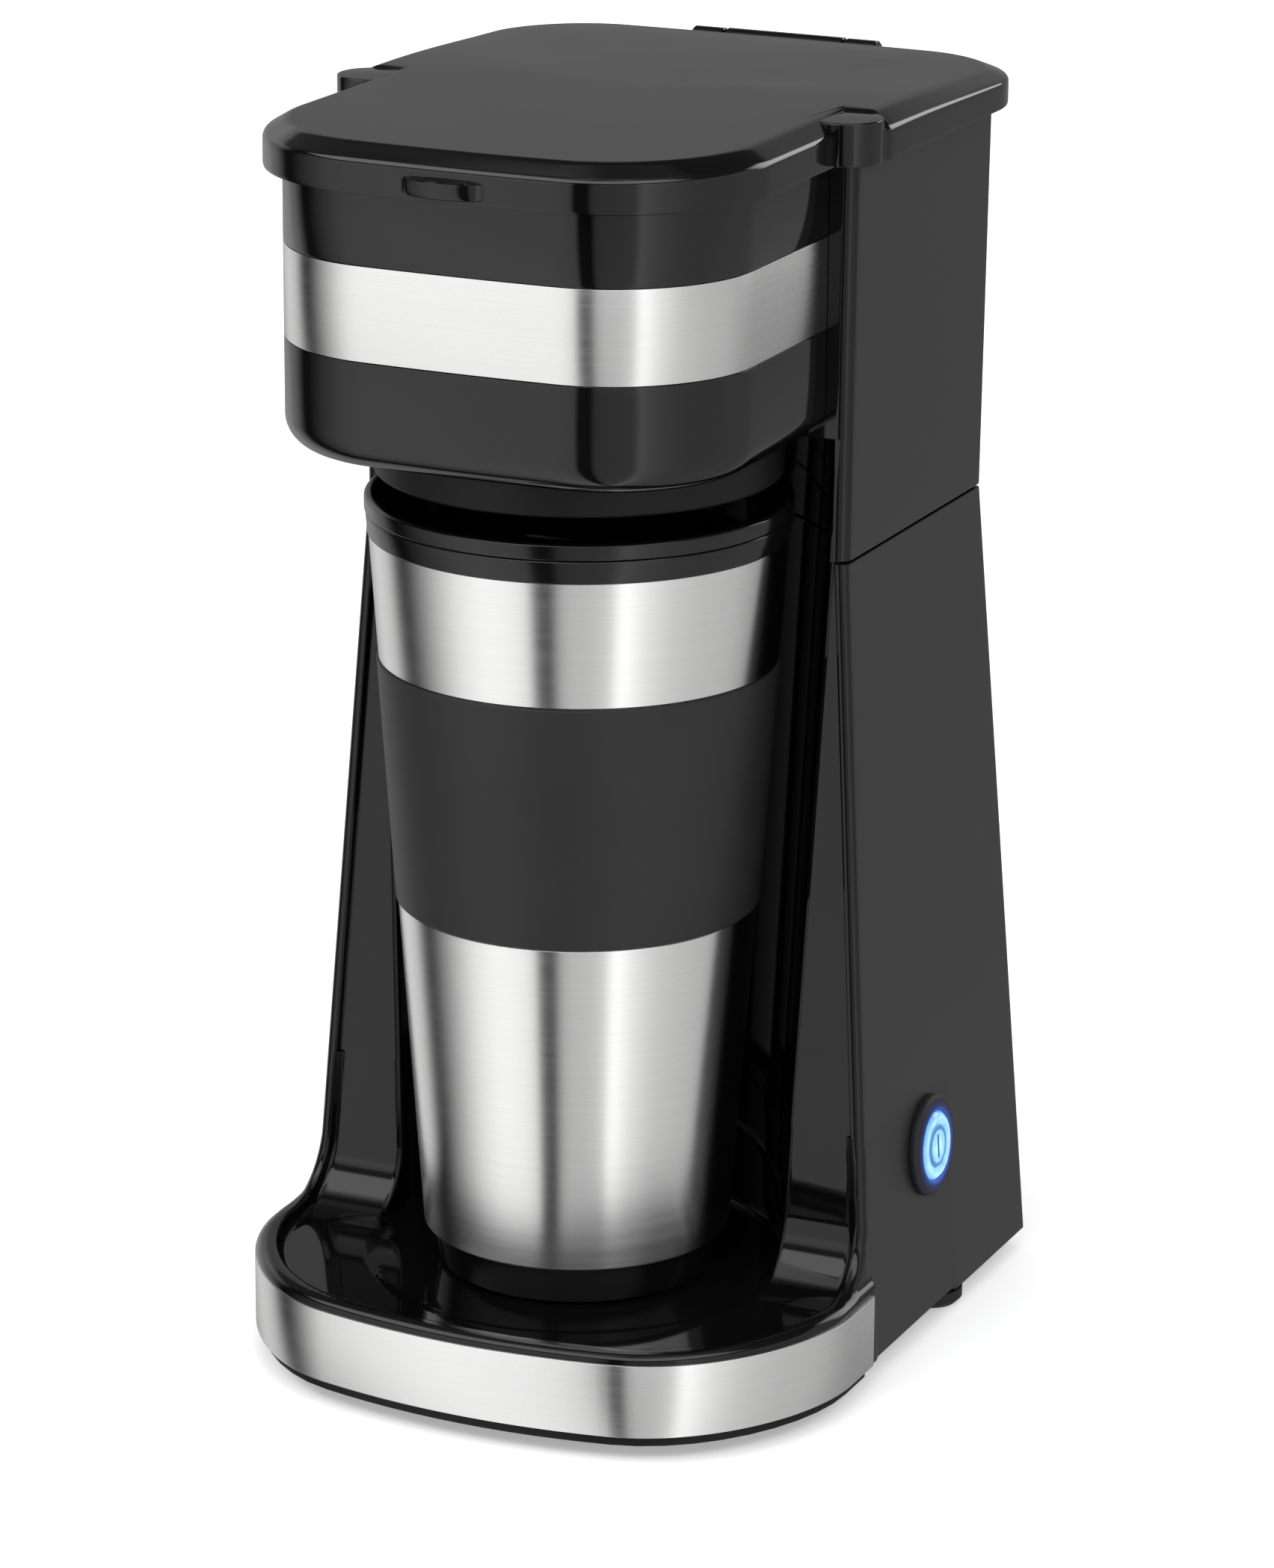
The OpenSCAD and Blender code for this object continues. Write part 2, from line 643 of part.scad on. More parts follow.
// Rigid pipe that carries the hot water over the filter chamber's edge
module water_spout() {
    color("#e6e2d8") translate([riser_x, hose_y, 0]) difference() {
        union() {
            translate([0, 0, 224]) cylinder(r = bore_r - 0.02, h = 20, $fn = fine);
            translate([0, 0, 238]) cylinder(r = hose_r, h = 3, $fn = fine);
            spout_run(4.2, 240, 45);
        }
        spout_run(2, 220, 50);
    }
}

// The spout's course: up from z0, then level towards the filter for a length
module spout_run(r, z0, reach) {
    top = 262.5;
    big = 9;
    translate([0, 0, z0]) cylinder(r = r, h = top - big - z0, $fn = fine);
    rotate([0, 0, -56.3]) {
        translate([0, 0, top - big]) bend(r, big);
        translate([big, 0, top]) rotate([0, 90, 0]) cylinder(r = r, h = reach - big, $fn = fine);
    }
}

// ---- heater and wiring ----

// Aluminium water pipe bent into a U, with its ends turned up for the hoses
module heater_tube() {
    color("#b9bcc0") difference() {
        union() {
            u_bar(heater_z, 4.6, hose_y + 8);
            for (x = [outlet_x, inlet_x]) {
                elbow(x, 4.6);
                translate([x, hose_y, heater_z + 8]) cylinder(r = bore_r - 0.02, h = 18, $fn = fine);
                translate([x, hose_y, heater_z + 8]) cylinder(r = 4.6, h = 38 - heater_z - 8, $fn = fine);
            }
        }
        u_bar(heater_z, 2.2, hose_y + 8 - eps);
        for (x = [outlet_x, inlet_x]) {
            elbow(x, 2.2);
            translate([x, hose_y, heater_z + 8 - eps]) cylinder(r = 2.2, h = 30, $fn = fine);
        }
    }
}

// Quarter bend from a leg of the U up to a hose
module elbow(x, r) {
    intersection() {
        translate([x, hose_y + 8, heater_z + 8]) rotate([0, 90, 0]) rotate_extrude()
            translate([8, 0]) circle(r = r, $fn = fine);
        translate([x - 10, hose_y - 10, heater_z - 10]) cube([20, 18, 18]);
    }
}

// Sheathed heating element under the pipe, with its terminal pins
module heating_element() {
    color("#6f7275") {
        u_bar(element_z, 3.6, hose_y);
        for (x = [outlet_x, inlet_x]) translate([x, hose_y - 9, element_z]) rotate([-90, 0, 0])
            cylinder(r = 1.2, h = 9, $fn = 24);
    }
}

// Cast saddle that joins the pipe and the element
module heater_saddle() {
    color("#9da1a5") difference() {
        translate([0, 0, element_z]) linear_extrude(heater_z - element_z) difference() {
            union() {
                translate([0, ring_y]) circle(r = inlet_x + 5);
                translate([-inlet_x - 5, hose_y + 9]) square([2 * inlet_x + 10, ring_y - hose_y - 9]);
            }
            translate([0, ring_y]) circle(r = inlet_x - 5);
            translate([-inlet_x + 5, 0]) square([2 * inlet_x - 10, ring_y]);
        }
        u_bar(heater_z, 4.6, 30);
        u_bar(element_z, 3.6, 30);
    }
}

// Sheet-steel bridge that holds the heater down on the base plate
module heater_bracket() {
    top = heater_z + 4.6;
    color("#c4c4c4") difference() {
        union() {
            translate([-37.5, 58, top]) cube([75, 8, 1.2]);
            for (s = [-1, 1]) {
                translate([s * 36.9 - 0.6, 58, foot_h + 5.2]) cube([1.2, 8, top + 1.2 - foot_h - 5.2]);
                translate([s * 34 - 4.1, 57.6, foot_h + 5.2]) cube([8.2, 8.8, 1.2]);
            }
        }
        for (s = [-1, 1]) translate([s * 33, 62, 0]) cylinder(r = 1.7, h = 20, $fn = 24);
    }
}

// Screws of the heater's bridge
module bracket_screws() {
    color("silver") for (s = [-1, 1]) translate([s * 33, 62, foot_h + 6.4]) {
        cylinder(r = 2.8, h = 1.6, $fn = fine);
        translate([0, 0, -1.2]) cylinder(r = 1.7, h = 1.2, $fn = 24);
    }
}

// Disc thermostat on the bridge
module thermostat() {
    color("#2c2a28") translate([0, 62, heater_z + 5.8]) {
        cylinder(r = 8, h = 6, $fn = fine);
        translate([0, 0, 6]) cylinder(r = 6, h = 3, $fn = fine);
        for (s = [-1, 1]) translate([s * 4 - 0.4, -2.5, 9]) cube([0.8, 5, 7]);
    }
}

// Thermal fuse in its sleeve, beside the thermostat
module thermal_fuse() {
    color("#e9e4d4") translate([9.5, 62, heater_z + 7.9]) {
        rotate([0, 90, 0]) cylinder(r = 2.1, h = 18, $fn = fine);
        translate([18, 0, 0]) rotate([0, 90, 0]) cylinder(r = 0.6, h = 6, $fn = 24);
    }
}

// Screw terminals where the mains wires meet the inner wiring
module terminal_block() {
    color("#efece2") translate([-56, 28, foot_h + 2.4]) difference() {
        cube([16, 12, 14]);
        for (x = [4, 12]) translate([x, 6, 8]) cylinder(r = 2, h = 10, $fn = fine);
        for (x = [4, 12]) translate([x, -1, 6]) rotate([-90, 0, 0]) cylinder(r = 1.6, h = 14, $fn = fine);
    }
}

// Rubber gland in the back wall for the mains cord
module cord_gland() {
    y = gland_y;
    color("#101010") difference() {
        union() {
            bar([gland_x, y - 9, gland_z], [gland_x, y, gland_z], 6.1);
            bar([gland_x, y, gland_z], [gland_x, y + 2.4, gland_z], 8);
            bar([gland_x, y - 11, gland_z], [gland_x, y - 8, gland_z], 7.4);
        }
        bar([gland_x, y - 20, gland_z], [gland_x, y + 20, gland_z], 3.4);
    }
}

// ---- power button ----

// Soft round bezel on the right side
module button_bezel() {
    color("#141414") at_button() difference() {
        union() {
            translate([0, 0, 0.02]) cylinder(r = bezel_r, h = bezel_proud - 0.8);
            translate([0, 0, bezel_proud - 0.78]) cylinder(r1 = bezel_r, r2 = bezel_r - 1.2, h = 0.8);
            translate([0, 0, -9.2]) cylinder(r = 9.1, h = 9.3);
        }
        translate([0, 0, -10]) cylinder(r = cap_r + 0.25, h = 20);
    }
}

// Translucent cap with the power mark's ring
module button_cap() {
    color("#7fb4ff") at_button() difference() {
        union() {
            translate([0, 0, -2.6]) cylinder(r = cap_r, h = 4.4);
            translate([0, 0, 1.8]) cylinder(r1 = cap_r, r2 = cap_r - 0.7, h = 0.7);
        }
        difference() {
            translate([0, 0, 2.1]) cylinder(r = 5.2, h = 2);
            translate([0, 0, 2]) cylinder(r = 4.5, h = 3);
        }
        translate([-2.4, -0.35, 2.1]) cube([4.8, 0.7, 1]);
    }
}

// Stem that carries the cap's push into the switch
module button_stem() {
    color("#dddddd") at_button() {
        translate([0, 0, -12]) cylinder(r = 2, h = 9.4, $fn = fine);
        translate([0, 0, -4]) cylinder(r = 5, h = 1.4, $fn = fine);
    }
}

// Return spring around the stem, wound from a round wire
module button_spring() {
    turns = 4.5;
    steps = 72;
    sides = 6;
    points = [for (k = [0:steps], i = [0:sides - 1])
        let (a = 360 * turns * k / steps, r = 3.1 + 0.35 * cos(60 * i))
        [r * cos(a), r * sin(a), -8.75 + 3.9 * k / steps + 0.35 * sin(60 * i)]];
    walls = [for (k = [0:steps - 1], i = [0:sides - 1])
        let (j = (i + 1) % sides, p = k * sides, q = p + sides) [p + i, q + i, q + j, p + j]];
    ends = [[for (i = [0:sides - 1]) i], [for (i = [0:sides - 1]) (steps + 1) * sides - 1 - i]];
    color("#b0b0b0") at_button() polyhedron(points = points, faces = concat(walls, ends), convexity = 8);
}

// Latching switch behind the button
module power_switch() {
    color("#2a2a2a") at_button() difference() {
        union() {
            translate([-7, -7, -24]) cube([14, 14, 14.8]);
            for (s = [-1, 1]) translate([s * 4 - 0.4, -2.4, -31]) cube([0.8, 4.8, 7]);
        }
        translate([0, 0, -15]) cylinder(r = 2.3, h = 10, $fn = fine);
    }
}

// Board with the blue light beside the switch
module led_board() {
    color("#2f6b3a") at_button() {
        translate([-5, 7, -20]) cube([10, 1.4, 10.8]);
        translate([0, 6.2, -9.2]) cylinder(r = 1.5, h = 3, $fn = 24);
    }
}

// ---- travel mug ----

// Outer radius of the mug's steel wall at height z
function mug_r(z) = mug_r0 + (mug_r1 - mug_r0) * (z - mug_z0) / (mug_z1 - mug_z0);

// Outer steel wall
module mug_shell() {
    t = 0.7;
    color("#c6c6c8") translate([0, mug_y, 0]) rotate_extrude() polygon([
        [0, mug_z0 + 0.2], [mug_r0 - 2, mug_z0 + 0.2], [mug_r0, mug_z0], [mug_r1, mug_z1],
        [mug_r1 - t, mug_z1], [mug_r(mug_z0 + 1) - t, mug_z0 + 1], [0, mug_z0 + 1]]);
}

// Inner wall that holds the drink
module mug_liner() {
    z0 = mug_z0 + 4;
    color("#d3d3d4") translate([0, mug_y, 0]) rotate_extrude() polygon([
        [0, z0], [mug_r(z0) - 6, z0], [mug_r(z0) - 3.4, z0 + 3], [mug_r(mug_z1) - 2.6, mug_z1],
        [mug_r(mug_z1) - 3.6, mug_z1], [mug_r(z0) - 4.4, z0 + 3.4], [mug_r(z0) - 6.4, z0 + 1], [0, z0 + 1]]);
}

// Soft sleeve around the waist of the mug
module mug_grip() {
    color("#1c1c1d") translate([0, mug_y, 0]) rotate_extrude() polygon([
        [mug_r(grip_z0), grip_z0], [mug_r(grip_z0) + 0.5, grip_z0 + 0.4],
        [mug_r(grip_z1) + 0.5, grip_z1 - 0.4], [mug_r(grip_z1), grip_z1]]);
}

// Plastic collar that closes the gap between the two walls
module mug_collar() {
    color("#161617") translate([0, mug_y, 0]) difference() {
        translate([0, 0, mug_z1]) cylinder(r1 = mug_r1 + 0.3, r2 = mug_r1 + 0.7, h = collar_z - mug_z1);
        translate([0, 0, mug_z1 - 1]) cylinder(r = mug_r1 - 3.9, h = 20);
    }
}

// Plastic foot of the mug
module mug_foot() {
    color("#151516") translate([0, mug_y, 0]) difference() {
        translate([0, 0, tray_z]) cylinder(r1 = 29.8, r2 = 31.4, h = mug_z0 + 0.2 - tray_z);
        translate([0, 0, tray_z - 1]) cylinder(r = 26, h = 3);
    }
}

// Screw-in lid of the mug, recessed inside its rim
module mug_lid() {
    r = mug_r1 - 4.2;
    color("#19191a") translate([0, mug_y, 0]) difference() {
        union() {
            translate([0, 0, collar_z + 0.05]) cylinder(r = mug_r1 + 0.9, h = mug_lid_z - collar_z - 0.05);
            translate([0, 0, 179]) cylinder(r = r, h = collar_z - 178.9);
        }
        translate([0, 0, 181.2]) cylinder(r = r - 2, h = 20);
        translate([0, 0, collar_z + 1.5]) cylinder(r1 = r - 2, r2 = mug_r1 - 0.7, h = mug_lid_z - collar_z - 1.4);
        translate([0, -26, 170]) cylinder(r = 4, h = 20, $fn = fine);
        translate([0, 30, 170]) cylinder(r = 1.2, h = 20, $fn = 24);
        translate([0, 0, 180.2]) difference() {
            cylinder(r = r + 1, h = 2.4);
            cylinder(r = r - 1, h = 2.4);
        }
    }
}

// Silicone ring on the mug's lid
module mug_lid_seal() {
    r = mug_r1 - 4.2;
    color("#8a8a8a") translate([0, mug_y, 180.3]) difference() {
        cylinder(r = r + 0.1, h = 2.2);
        translate([0, 0, -1]) cylinder(r = r - 1, h = 5);
    }
}

// Shutter of the drinking hole
module mug_lid_slider() {
    color("#2b2b2c") translate([0, mug_y, 0]) {
        translate([-6.5, -31.5, 181.25]) cube([13, 20, 2]);
        translate([-5, -17, 183.25]) cube([10, 3, 2.6]);
    }
}

lower_housing();
upper_housing();
base_plate();
rubber_feet();
base_screws();
base_band();
brew_head();
head_band();
outlet_skirt();
lid();
hinge_pin();
shower_plate();
water_tank();
tank_strainer();
valve_seat();
valve_ball();
inlet_hose();
riser_hose();
hose_clips();
water_spout();
heater_tube();
heating_element();
heater_saddle();
heater_bracket();
bracket_screws();
thermostat();
thermal_fuse();
terminal_block();
cord_gland();
filter_holder();
filter_frame();
filter_mesh();
button_bezel();
button_cap();
button_stem();
button_spring();
power_switch();
led_board();
mug_shell();
mug_liner();
mug_grip();
mug_collar();
mug_foot();
mug_lid();
mug_lid_seal();
mug_lid_slider();
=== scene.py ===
import math
from math import sin, cos, pi, radians

import bmesh
import bpy
import numpy as np
from mathutils import Matrix, Vector


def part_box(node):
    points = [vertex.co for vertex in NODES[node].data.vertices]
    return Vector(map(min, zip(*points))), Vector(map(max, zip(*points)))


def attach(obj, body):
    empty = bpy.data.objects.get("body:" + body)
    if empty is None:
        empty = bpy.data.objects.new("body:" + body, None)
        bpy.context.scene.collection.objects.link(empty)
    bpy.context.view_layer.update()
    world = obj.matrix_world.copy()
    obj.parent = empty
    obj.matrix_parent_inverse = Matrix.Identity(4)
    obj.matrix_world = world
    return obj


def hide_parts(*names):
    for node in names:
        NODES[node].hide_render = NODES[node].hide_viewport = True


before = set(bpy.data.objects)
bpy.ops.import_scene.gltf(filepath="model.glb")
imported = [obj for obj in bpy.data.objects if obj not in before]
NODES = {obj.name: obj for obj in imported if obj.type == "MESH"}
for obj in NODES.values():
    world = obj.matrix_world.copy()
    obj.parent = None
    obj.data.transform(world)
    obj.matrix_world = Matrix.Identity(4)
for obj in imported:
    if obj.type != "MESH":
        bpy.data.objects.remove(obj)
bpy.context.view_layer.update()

MM = 0.001
MERGE = 2e-6  # metres: points closer than this become one
CREASE = 32.0  # degrees: edges sharper than this stay sharp


def mm_box(node):
    lo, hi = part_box(node)
    return [v / MM for v in lo], [v / MM for v in hi]


# ------------------------------------------------------------------ sizes read from the frame, in millimetres
SHELL_LO, SHELL_HI = mm_box("mug_shell")
GRIP_LO, GRIP_HI = mm_box("mug_grip")
SKIRT_LO, SKIRT_HI = mm_box("outlet_skirt")
HEAD_LO, HEAD_HI = mm_box("brew_head")
HBAND_LO, HBAND_HI = mm_box("head_band")
BBAND_LO, BBAND_HI = mm_box("base_band")
MUG_Y = (SHELL_LO[1] + SHELL_HI[1]) / 2
TRAY_Z = mm_box("mug_foot")[0][2]
COLLAR_TOP, MLID_TOP = mm_box("mug_collar")[1][2], mm_box("mug_lid")[1][2]
HZ0, HZ1 = HEAD_LO[2], HEAD_HI[2]
LZ0 = mm_box("lid")[0][2]
WAIST_LO, WAIST_HI = mm_box("lower_housing")[1][2], mm_box("upper_housing")[0][2] + 0.4


# ------------------------------------------------------------------ mesh helpers
def added(name, data):
    """A new object in the scene."""
    obj = bpy.data.objects.new(name, data)
    bpy.context.scene.collection.objects.link(obj)
    return obj


def make(name, verts, faces, angle=CREASE):
    """A mesh from points in millimetres."""
    mesh = bpy.data.meshes.new(name)
    mesh.from_pydata([tuple(c * MM for c in v) for v in verts], [], faces)
    mesh.validate()
    bm = bmesh.new()
    bm.from_mesh(mesh)
    bmesh.ops.remove_doubles(bm, verts=bm.verts, dist=MERGE)
    bmesh.ops.recalc_face_normals(bm, faces=bm.faces)
    bm.to_mesh(mesh)
    bm.free()
    for p in mesh.polygons:
        p.use_smooth = True
    mesh.set_sharp_from_angle(angle=radians(angle))
    return added(name, mesh)


def fillet(points, n=8, closed=True):
    """Points (x, y, r) become a polyline whose corners are rounded by r."""
    out = []
    m = len(points)
    for i, (x, y, r) in enumerate(points):
        if r <= 0 or (not closed and i in (0, m - 1)):
            out.append((x, y))
            continue
        a = Vector(points[i - 1][:2]) - Vector((x, y))
        b = Vector(points[(i + 1) % m][:2]) - Vector((x, y))
        la, lb = a.length, b.length
        a.normalize()
        b.normalize()
        half = math.acos(max(-1, min(1, a.dot(b)))) / 2
        if half > pi / 2 - 0.01:
            out.append((x, y))
            continue
        t = min(r / math.tan(half), la * 0.499, lb * 0.499)
        rr = t * math.tan(half)
        c = Vector((x, y)) + (a + b).normalized() * (rr / sin(half))
        p0 = Vector((x, y)) + a * t
        p1 = Vector((x, y)) + b * t
        v0, v1 = p0 - c, p1 - c
        ang = v0.angle_signed(v1) if v0.length > 1e-9 else 0
        a0 = math.atan2(v0.y, v0.x)
        for k in range(n + 1):
            th = a0 - ang * k / n
            out.append((c.x + rr * cos(th), c.y + rr * sin(th)))
    return out


def lathe(name, profile, n=160, centre=(0.0, MUG_Y)):
    """Turns a closed profile of (r, z) around an upright axis, the mug's if no other is given."""
    cx, cy = centre
    verts, faces = [], []
    m = len(profile)
    for i in range(n):
        a = 2 * pi * i / n
        for r, z in profile:
            verts.append((cx + r * cos(a), cy + r * sin(a), z))
    for i in range(n):
        j = (i + 1) % n
        for k in range(m):
            q = (k + 1) % m
            if profile[k][0] < 1e-6 and profile[q][0] < 1e-6:
                continue
            faces.append((i * m + k, j * m + k, j * m + q, i * m + q))
    return make(name, verts, faces)


def loft(name, rings, close_rings=True, loop=False, angle=CREASE):
    """Joins rings of equally many (x, y, z) points. loop joins the last ring to the first one.
    Open rings in a loop get their two ends closed, and closed rings without a loop their first and last ring."""
    m = len(rings[0])
    verts = [p for r in rings for p in r]
    faces = []
    n = len(rings)
    for i in range(n if loop else n - 1):
        a, b = i * m, ((i + 1) % n) * m
        for k in range(m if close_rings else m - 1):
            q = (k + 1) % m
            faces.append((a + k, a + q, b + q, b + k))
    if close_rings and not loop:
        faces.append(tuple(range(m))[::-1])
        faces.append(tuple(range((n - 1) * m, n * m)))
    if not close_rings and loop:
        faces.append(tuple(i * m for i in range(n)))
        faces.append(tuple(i * m + m - 1 for i in range(n))[::-1])
    return make(name, verts, faces, angle)


def bow_at(x, w, bow):
    """How far a bowed front of half width w stands out at x."""
    return bow * max(0.0, 1 - x * x / (w * w))


def front_path(w, yf, rf, bow, y_end, d, n=26, m=24):
    """The open outline from the left side around the front to the right side, inset by d."""
    w, yf, rf = w - d, yf + d, max(rf - d, 0.3)
    pts = []
    y0 = yf + rf
    for k in range(6):
        pts.append((-w, y_end + (y0 - y_end) * k / 6))
    for k in range(n + 1):
        a = radians(180 + 90 * k / n)
        x = -w + rf + rf * cos(a)
        pts.append((x, y0 + rf * sin(a) - bow_at(x, w, bow)))
    for k in range(1, m):
        x = (w - rf) * (2 * k / m - 1)
        pts.append((x, yf - bow_at(x, w, bow)))
    for k in range(n + 1):
        a = radians(270 + 90 * k / n)
        x = w - rf + rf * cos(a)
        pts.append((x, y0 + rf * sin(a) - bow_at(x, w, bow)))
    for k in range(1, 7):
        pts.append((w, y0 + (y_end - y0) * k / 6))
    return pts


def at(points, z):
    return [(x, y, z) for x, y in points]


def moved_to(ring, z):
    return [(x, y, z) for x, y, _ in ring]


def mirrored(half):
    """The right half of an outline, from the middle of one side to the middle of the other, made whole."""
    return half + [(-x, y) for x, y in reversed(half[1:-1])]


def weighted(obj):
    """Shading that follows the large faces, so that small roundings don't bend it."""
    m = obj.modifiers.new("normals", "WEIGHTED_NORMAL")
    m.keep_sharp = True
    return obj


def place(obj, body, slot, mat, *nodes):
    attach(obj, body)
    if nodes:
        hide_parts(*nodes)
    obj.data.materials.clear()
    obj.data.materials.append(mat)
    return obj


# ------------------------------------------------------------------ materials
def new_material(name):
    m = bpy.data.materials.new(name)
    m.use_nodes = True
    return m, m.node_tree, m.node_tree.nodes["Principled BSDF"]


def feed(nt, socket, value):
    """Links another socket to this one, or sets it to a number or colour."""
    if isinstance(value, bpy.types.NodeSocket):
        nt.links.new(value, socket)
    else:
        socket.default_value = value


def noise(nt, scale, detail=3.0, stretch=(1, 1, 1), rough=0.55):
    co = nt.nodes.new("ShaderNodeTexCoord")
    mp = nt.nodes.new("ShaderNodeMapping")
    mp.inputs["Scale"].default_value = stretch
    nt.links.new(co.outputs["Object"], mp.inputs["Vector"])
    nz = nt.nodes.new("ShaderNodeTexNoise")
    nz.inputs["Scale"].default_value = scale
    nz.inputs["Detail"].default_value = detail
    nz.inputs["Roughness"].default_value = rough
    nt.links.new(mp.outputs["Vector"], nz.inputs["Vector"])
    return nz.outputs["Fac"]


def spread(nt, source, lo, hi, f0=0.3, f1=0.7):
    """Maps f0 to f1 onto lo to hi."""
    r = nt.nodes.new("ShaderNodeMapRange")
    for name, value in (("From Min", f0), ("From Max", f1), ("To Min", lo), ("To Max", hi), ("Value", source)):
        feed(nt, r.inputs[name], value)
    return r.outputs["Result"]


def stops(nt, source, table):
    """A colour ramp through (position, colour)."""
    ramp = nt.nodes.new("ShaderNodeValToRGB")
    e = ramp.color_ramp.elements
    for i, (position, colour) in enumerate(table):
        stop = e[i] if i < 2 else e.new(position)
        stop.position = position
        stop.color = (*colour, 1)
    nt.links.new(source, ramp.inputs["Fac"])
    return ramp.outputs["Color"]


def mixed(nt, first, second, factor=1.0, kind="MIX"):
    """Two colours mixed, multiplied or added."""
    mix = nt.nodes.new("ShaderNodeMix")
    mix.data_type = "RGBA"
    mix.blend_type = kind
    for name, value in (("Factor", factor), ("A", first), ("B", second)):
        feed(nt, mix.inputs[name], value)
    return mix.outputs["Result"]


def math_node(nt, kind, *values):
    n = nt.nodes.new("ShaderNodeMath")
    n.operation = kind
    for socket, value in zip(n.inputs, values):
        feed(nt, socket, value)
    return n.outputs[0]


def vector_math(nt, kind, *values):
    n = nt.nodes.new("ShaderNodeVectorMath")
    n.operation = kind
    for socket, value in zip(n.inputs, values):
        feed(nt, socket, value)
    return n


def bumped(nt, b, height, strength, distance):
    bump = nt.nodes.new("ShaderNodeBump")
    bump.inputs["Strength"].default_value = strength
    bump.inputs["Distance"].default_value = distance
    nt.links.new(height, bump.inputs["Height"])
    nt.links.new(bump.outputs["Normal"], b.inputs["Normal"])


def moulded(name, colour, rough, vary=0.05, grain=900.0, bump=0.04, specular=0.5, painted_edge_highlight=0.0):
    """Moulded plastic or rubber: cloudy gloss, a fine grain, and sharp outer edges made paler by a painted highlight.
    """
    m, nt, b = new_material(name)
    cloud = noise(nt, 28.0, 4.0)
    fine = noise(nt, grain, 2.0)
    c = np.array(colour)
    tone = stops(nt, cloud, ((0.3, c * 0.9), (0.7, np.minimum(c * 1.12 + 0.001, 1))))
    if painted_edge_highlight > 0:
        # painted highlight: sharp outer edges, found by pointiness, are mixed towards a paler tone
        geo = nt.nodes.new("ShaderNodeNewGeometry")
        edge = spread(nt, geo.outputs["Pointiness"], 0.0, painted_edge_highlight, 0.505, 0.56)
        tone = mixed(nt, tone, (*np.minimum(c * 2.2 + 0.02, 1), 1), edge)
    nt.links.new(tone, b.inputs["Base Color"])
    nt.links.new(spread(nt, cloud, rough - vary, rough + vary), b.inputs["Roughness"])
    bumped(nt, b, fine, bump, 0.0002)
    b.inputs["Specular IOR Level"].default_value = specular
    return m


def brushed(name, colour, rough, along=9.0, across=9000.0, bump=0.012, aniso=0.85, tangent=True, contrast=0.05):
    """Steel brushed along the horizontal, with fine streaks in tone, gloss and height."""
    m, nt, b = new_material(name)
    streak = noise(nt, 1.0, 3.0, (along, along, across), 0.7)
    broad = noise(nt, 1.0, 2.0, (20.0, 20.0, 700.0))
    c = np.array(colour)
    tone = stops(nt, streak, ((0.3, c * (1 - contrast)), (0.7, np.minimum(c * (1 + contrast * 0.6), 1))))
    nt.links.new(tone, b.inputs["Base Color"])
    both = math_node(nt, "ADD", streak, broad)
    nt.links.new(spread(nt, both, rough - 0.015, rough + 0.02, 0.7, 1.3), b.inputs["Roughness"])
    bumped(nt, b, streak, bump, 0.00004)
    b.inputs["Metallic"].default_value = 1.0
    b.inputs["Anisotropic"].default_value = aniso
    b.inputs["Anisotropic Rotation"].default_value = 0.25
    if tangent:
        tg = nt.nodes.new("ShaderNodeTangent")
        tg.direction_type = "RADIAL"
        tg.axis = "Z"
        nt.links.new(tg.outputs["Tangent"], b.inputs["Tangent"])
    return m


def from_button(nt):
    """Vector from the middle of the lit cap, flattened along X, and its length, in metres."""
    lo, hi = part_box("button_cap")
    co = nt.nodes.new("ShaderNodeTexCoord")
    sub = vector_math(nt, "SUBTRACT", co.outputs["Object"], (lo + hi) / 2)
    flat = vector_math(nt, "MULTIPLY", sub.outputs["Vector"], (0, 1, 1)).outputs["Vector"]
    return flat, vector_math(nt, "LENGTH", flat).outputs["Value"]


LIT_R, GLOW_R = 0.0078, 0.0114  # metres from the cap's middle at which the light's colours end
MARK_W, MARK_H = 0.00045, 0.0027  # half width and half height of the line on the cap


def lit(name):
    """Translucent cap with the light behind it: brightest in the middle, with a ring and a line."""
    m, nt, b = new_material(name)
    cloud = noise(nt, 520.0, 4.0)
    flat, far = from_button(nt)
    tone = stops(nt, math_node(nt, "MULTIPLY", far, 1 / LIT_R), (
        (0.0, (0.66, 0.92, 1.0)), (0.22, (0.44, 0.78, 0.96)), (0.44, (0.26, 0.60, 0.90)),
        (0.50, (0.015, 0.13, 0.36)), (0.58, (0.02, 0.15, 0.40)), (0.65, (0.28, 0.62, 0.92)),
        (0.82, (0.44, 0.76, 0.97)), (0.93, (0.20, 0.46, 0.92)), (1.0, (0.03, 0.12, 0.55))))
    parts = nt.nodes.new("ShaderNodeSeparateXYZ")
    nt.links.new(flat, parts.inputs["Vector"])
    thin = math_node(nt, "LESS_THAN", math_node(nt, "ABSOLUTE", parts.outputs["Y"]), MARK_W)
    low = math_node(nt, "LESS_THAN", math_node(nt, "ABSOLUTE", parts.outputs["Z"]), MARK_H)
    marked = mixed(nt, tone, (0.01, 0.09, 0.30, 1), math_node(nt, "MULTIPLY", thin, low))
    nt.links.new(marked, b.inputs["Emission Color"])
    b.inputs["Base Color"].default_value = (0.05, 0.12, 0.2, 1)
    nt.links.new(spread(nt, cloud, 0.80, 1.15), b.inputs["Emission Strength"])
    nt.links.new(spread(nt, cloud, 0.12, 0.22), b.inputs["Roughness"])
    return m


def glow(m):
    """Painted light: a blue glow emitted by the ring around the lit cap, standing in for the light the cap sheds on
    it.
    """
    nt = m.node_tree
    b = nt.nodes["Principled BSDF"]
    _, far = from_button(nt)
    nt.links.new(stops(nt, math_node(nt, "MULTIPLY", far, 1 / GLOW_R), (
        (0.0, (0.04, 0.20, 0.80)), (0.66, (0.03, 0.13, 0.55)), (0.77, (0.004, 0.016, 0.10)),
        (0.90, (0.0, 0.001, 0.008)), (1.0, (0.0, 0.0, 0.0)))), b.inputs["Emission Color"])
    b.inputs["Emission Strength"].default_value = 1.0
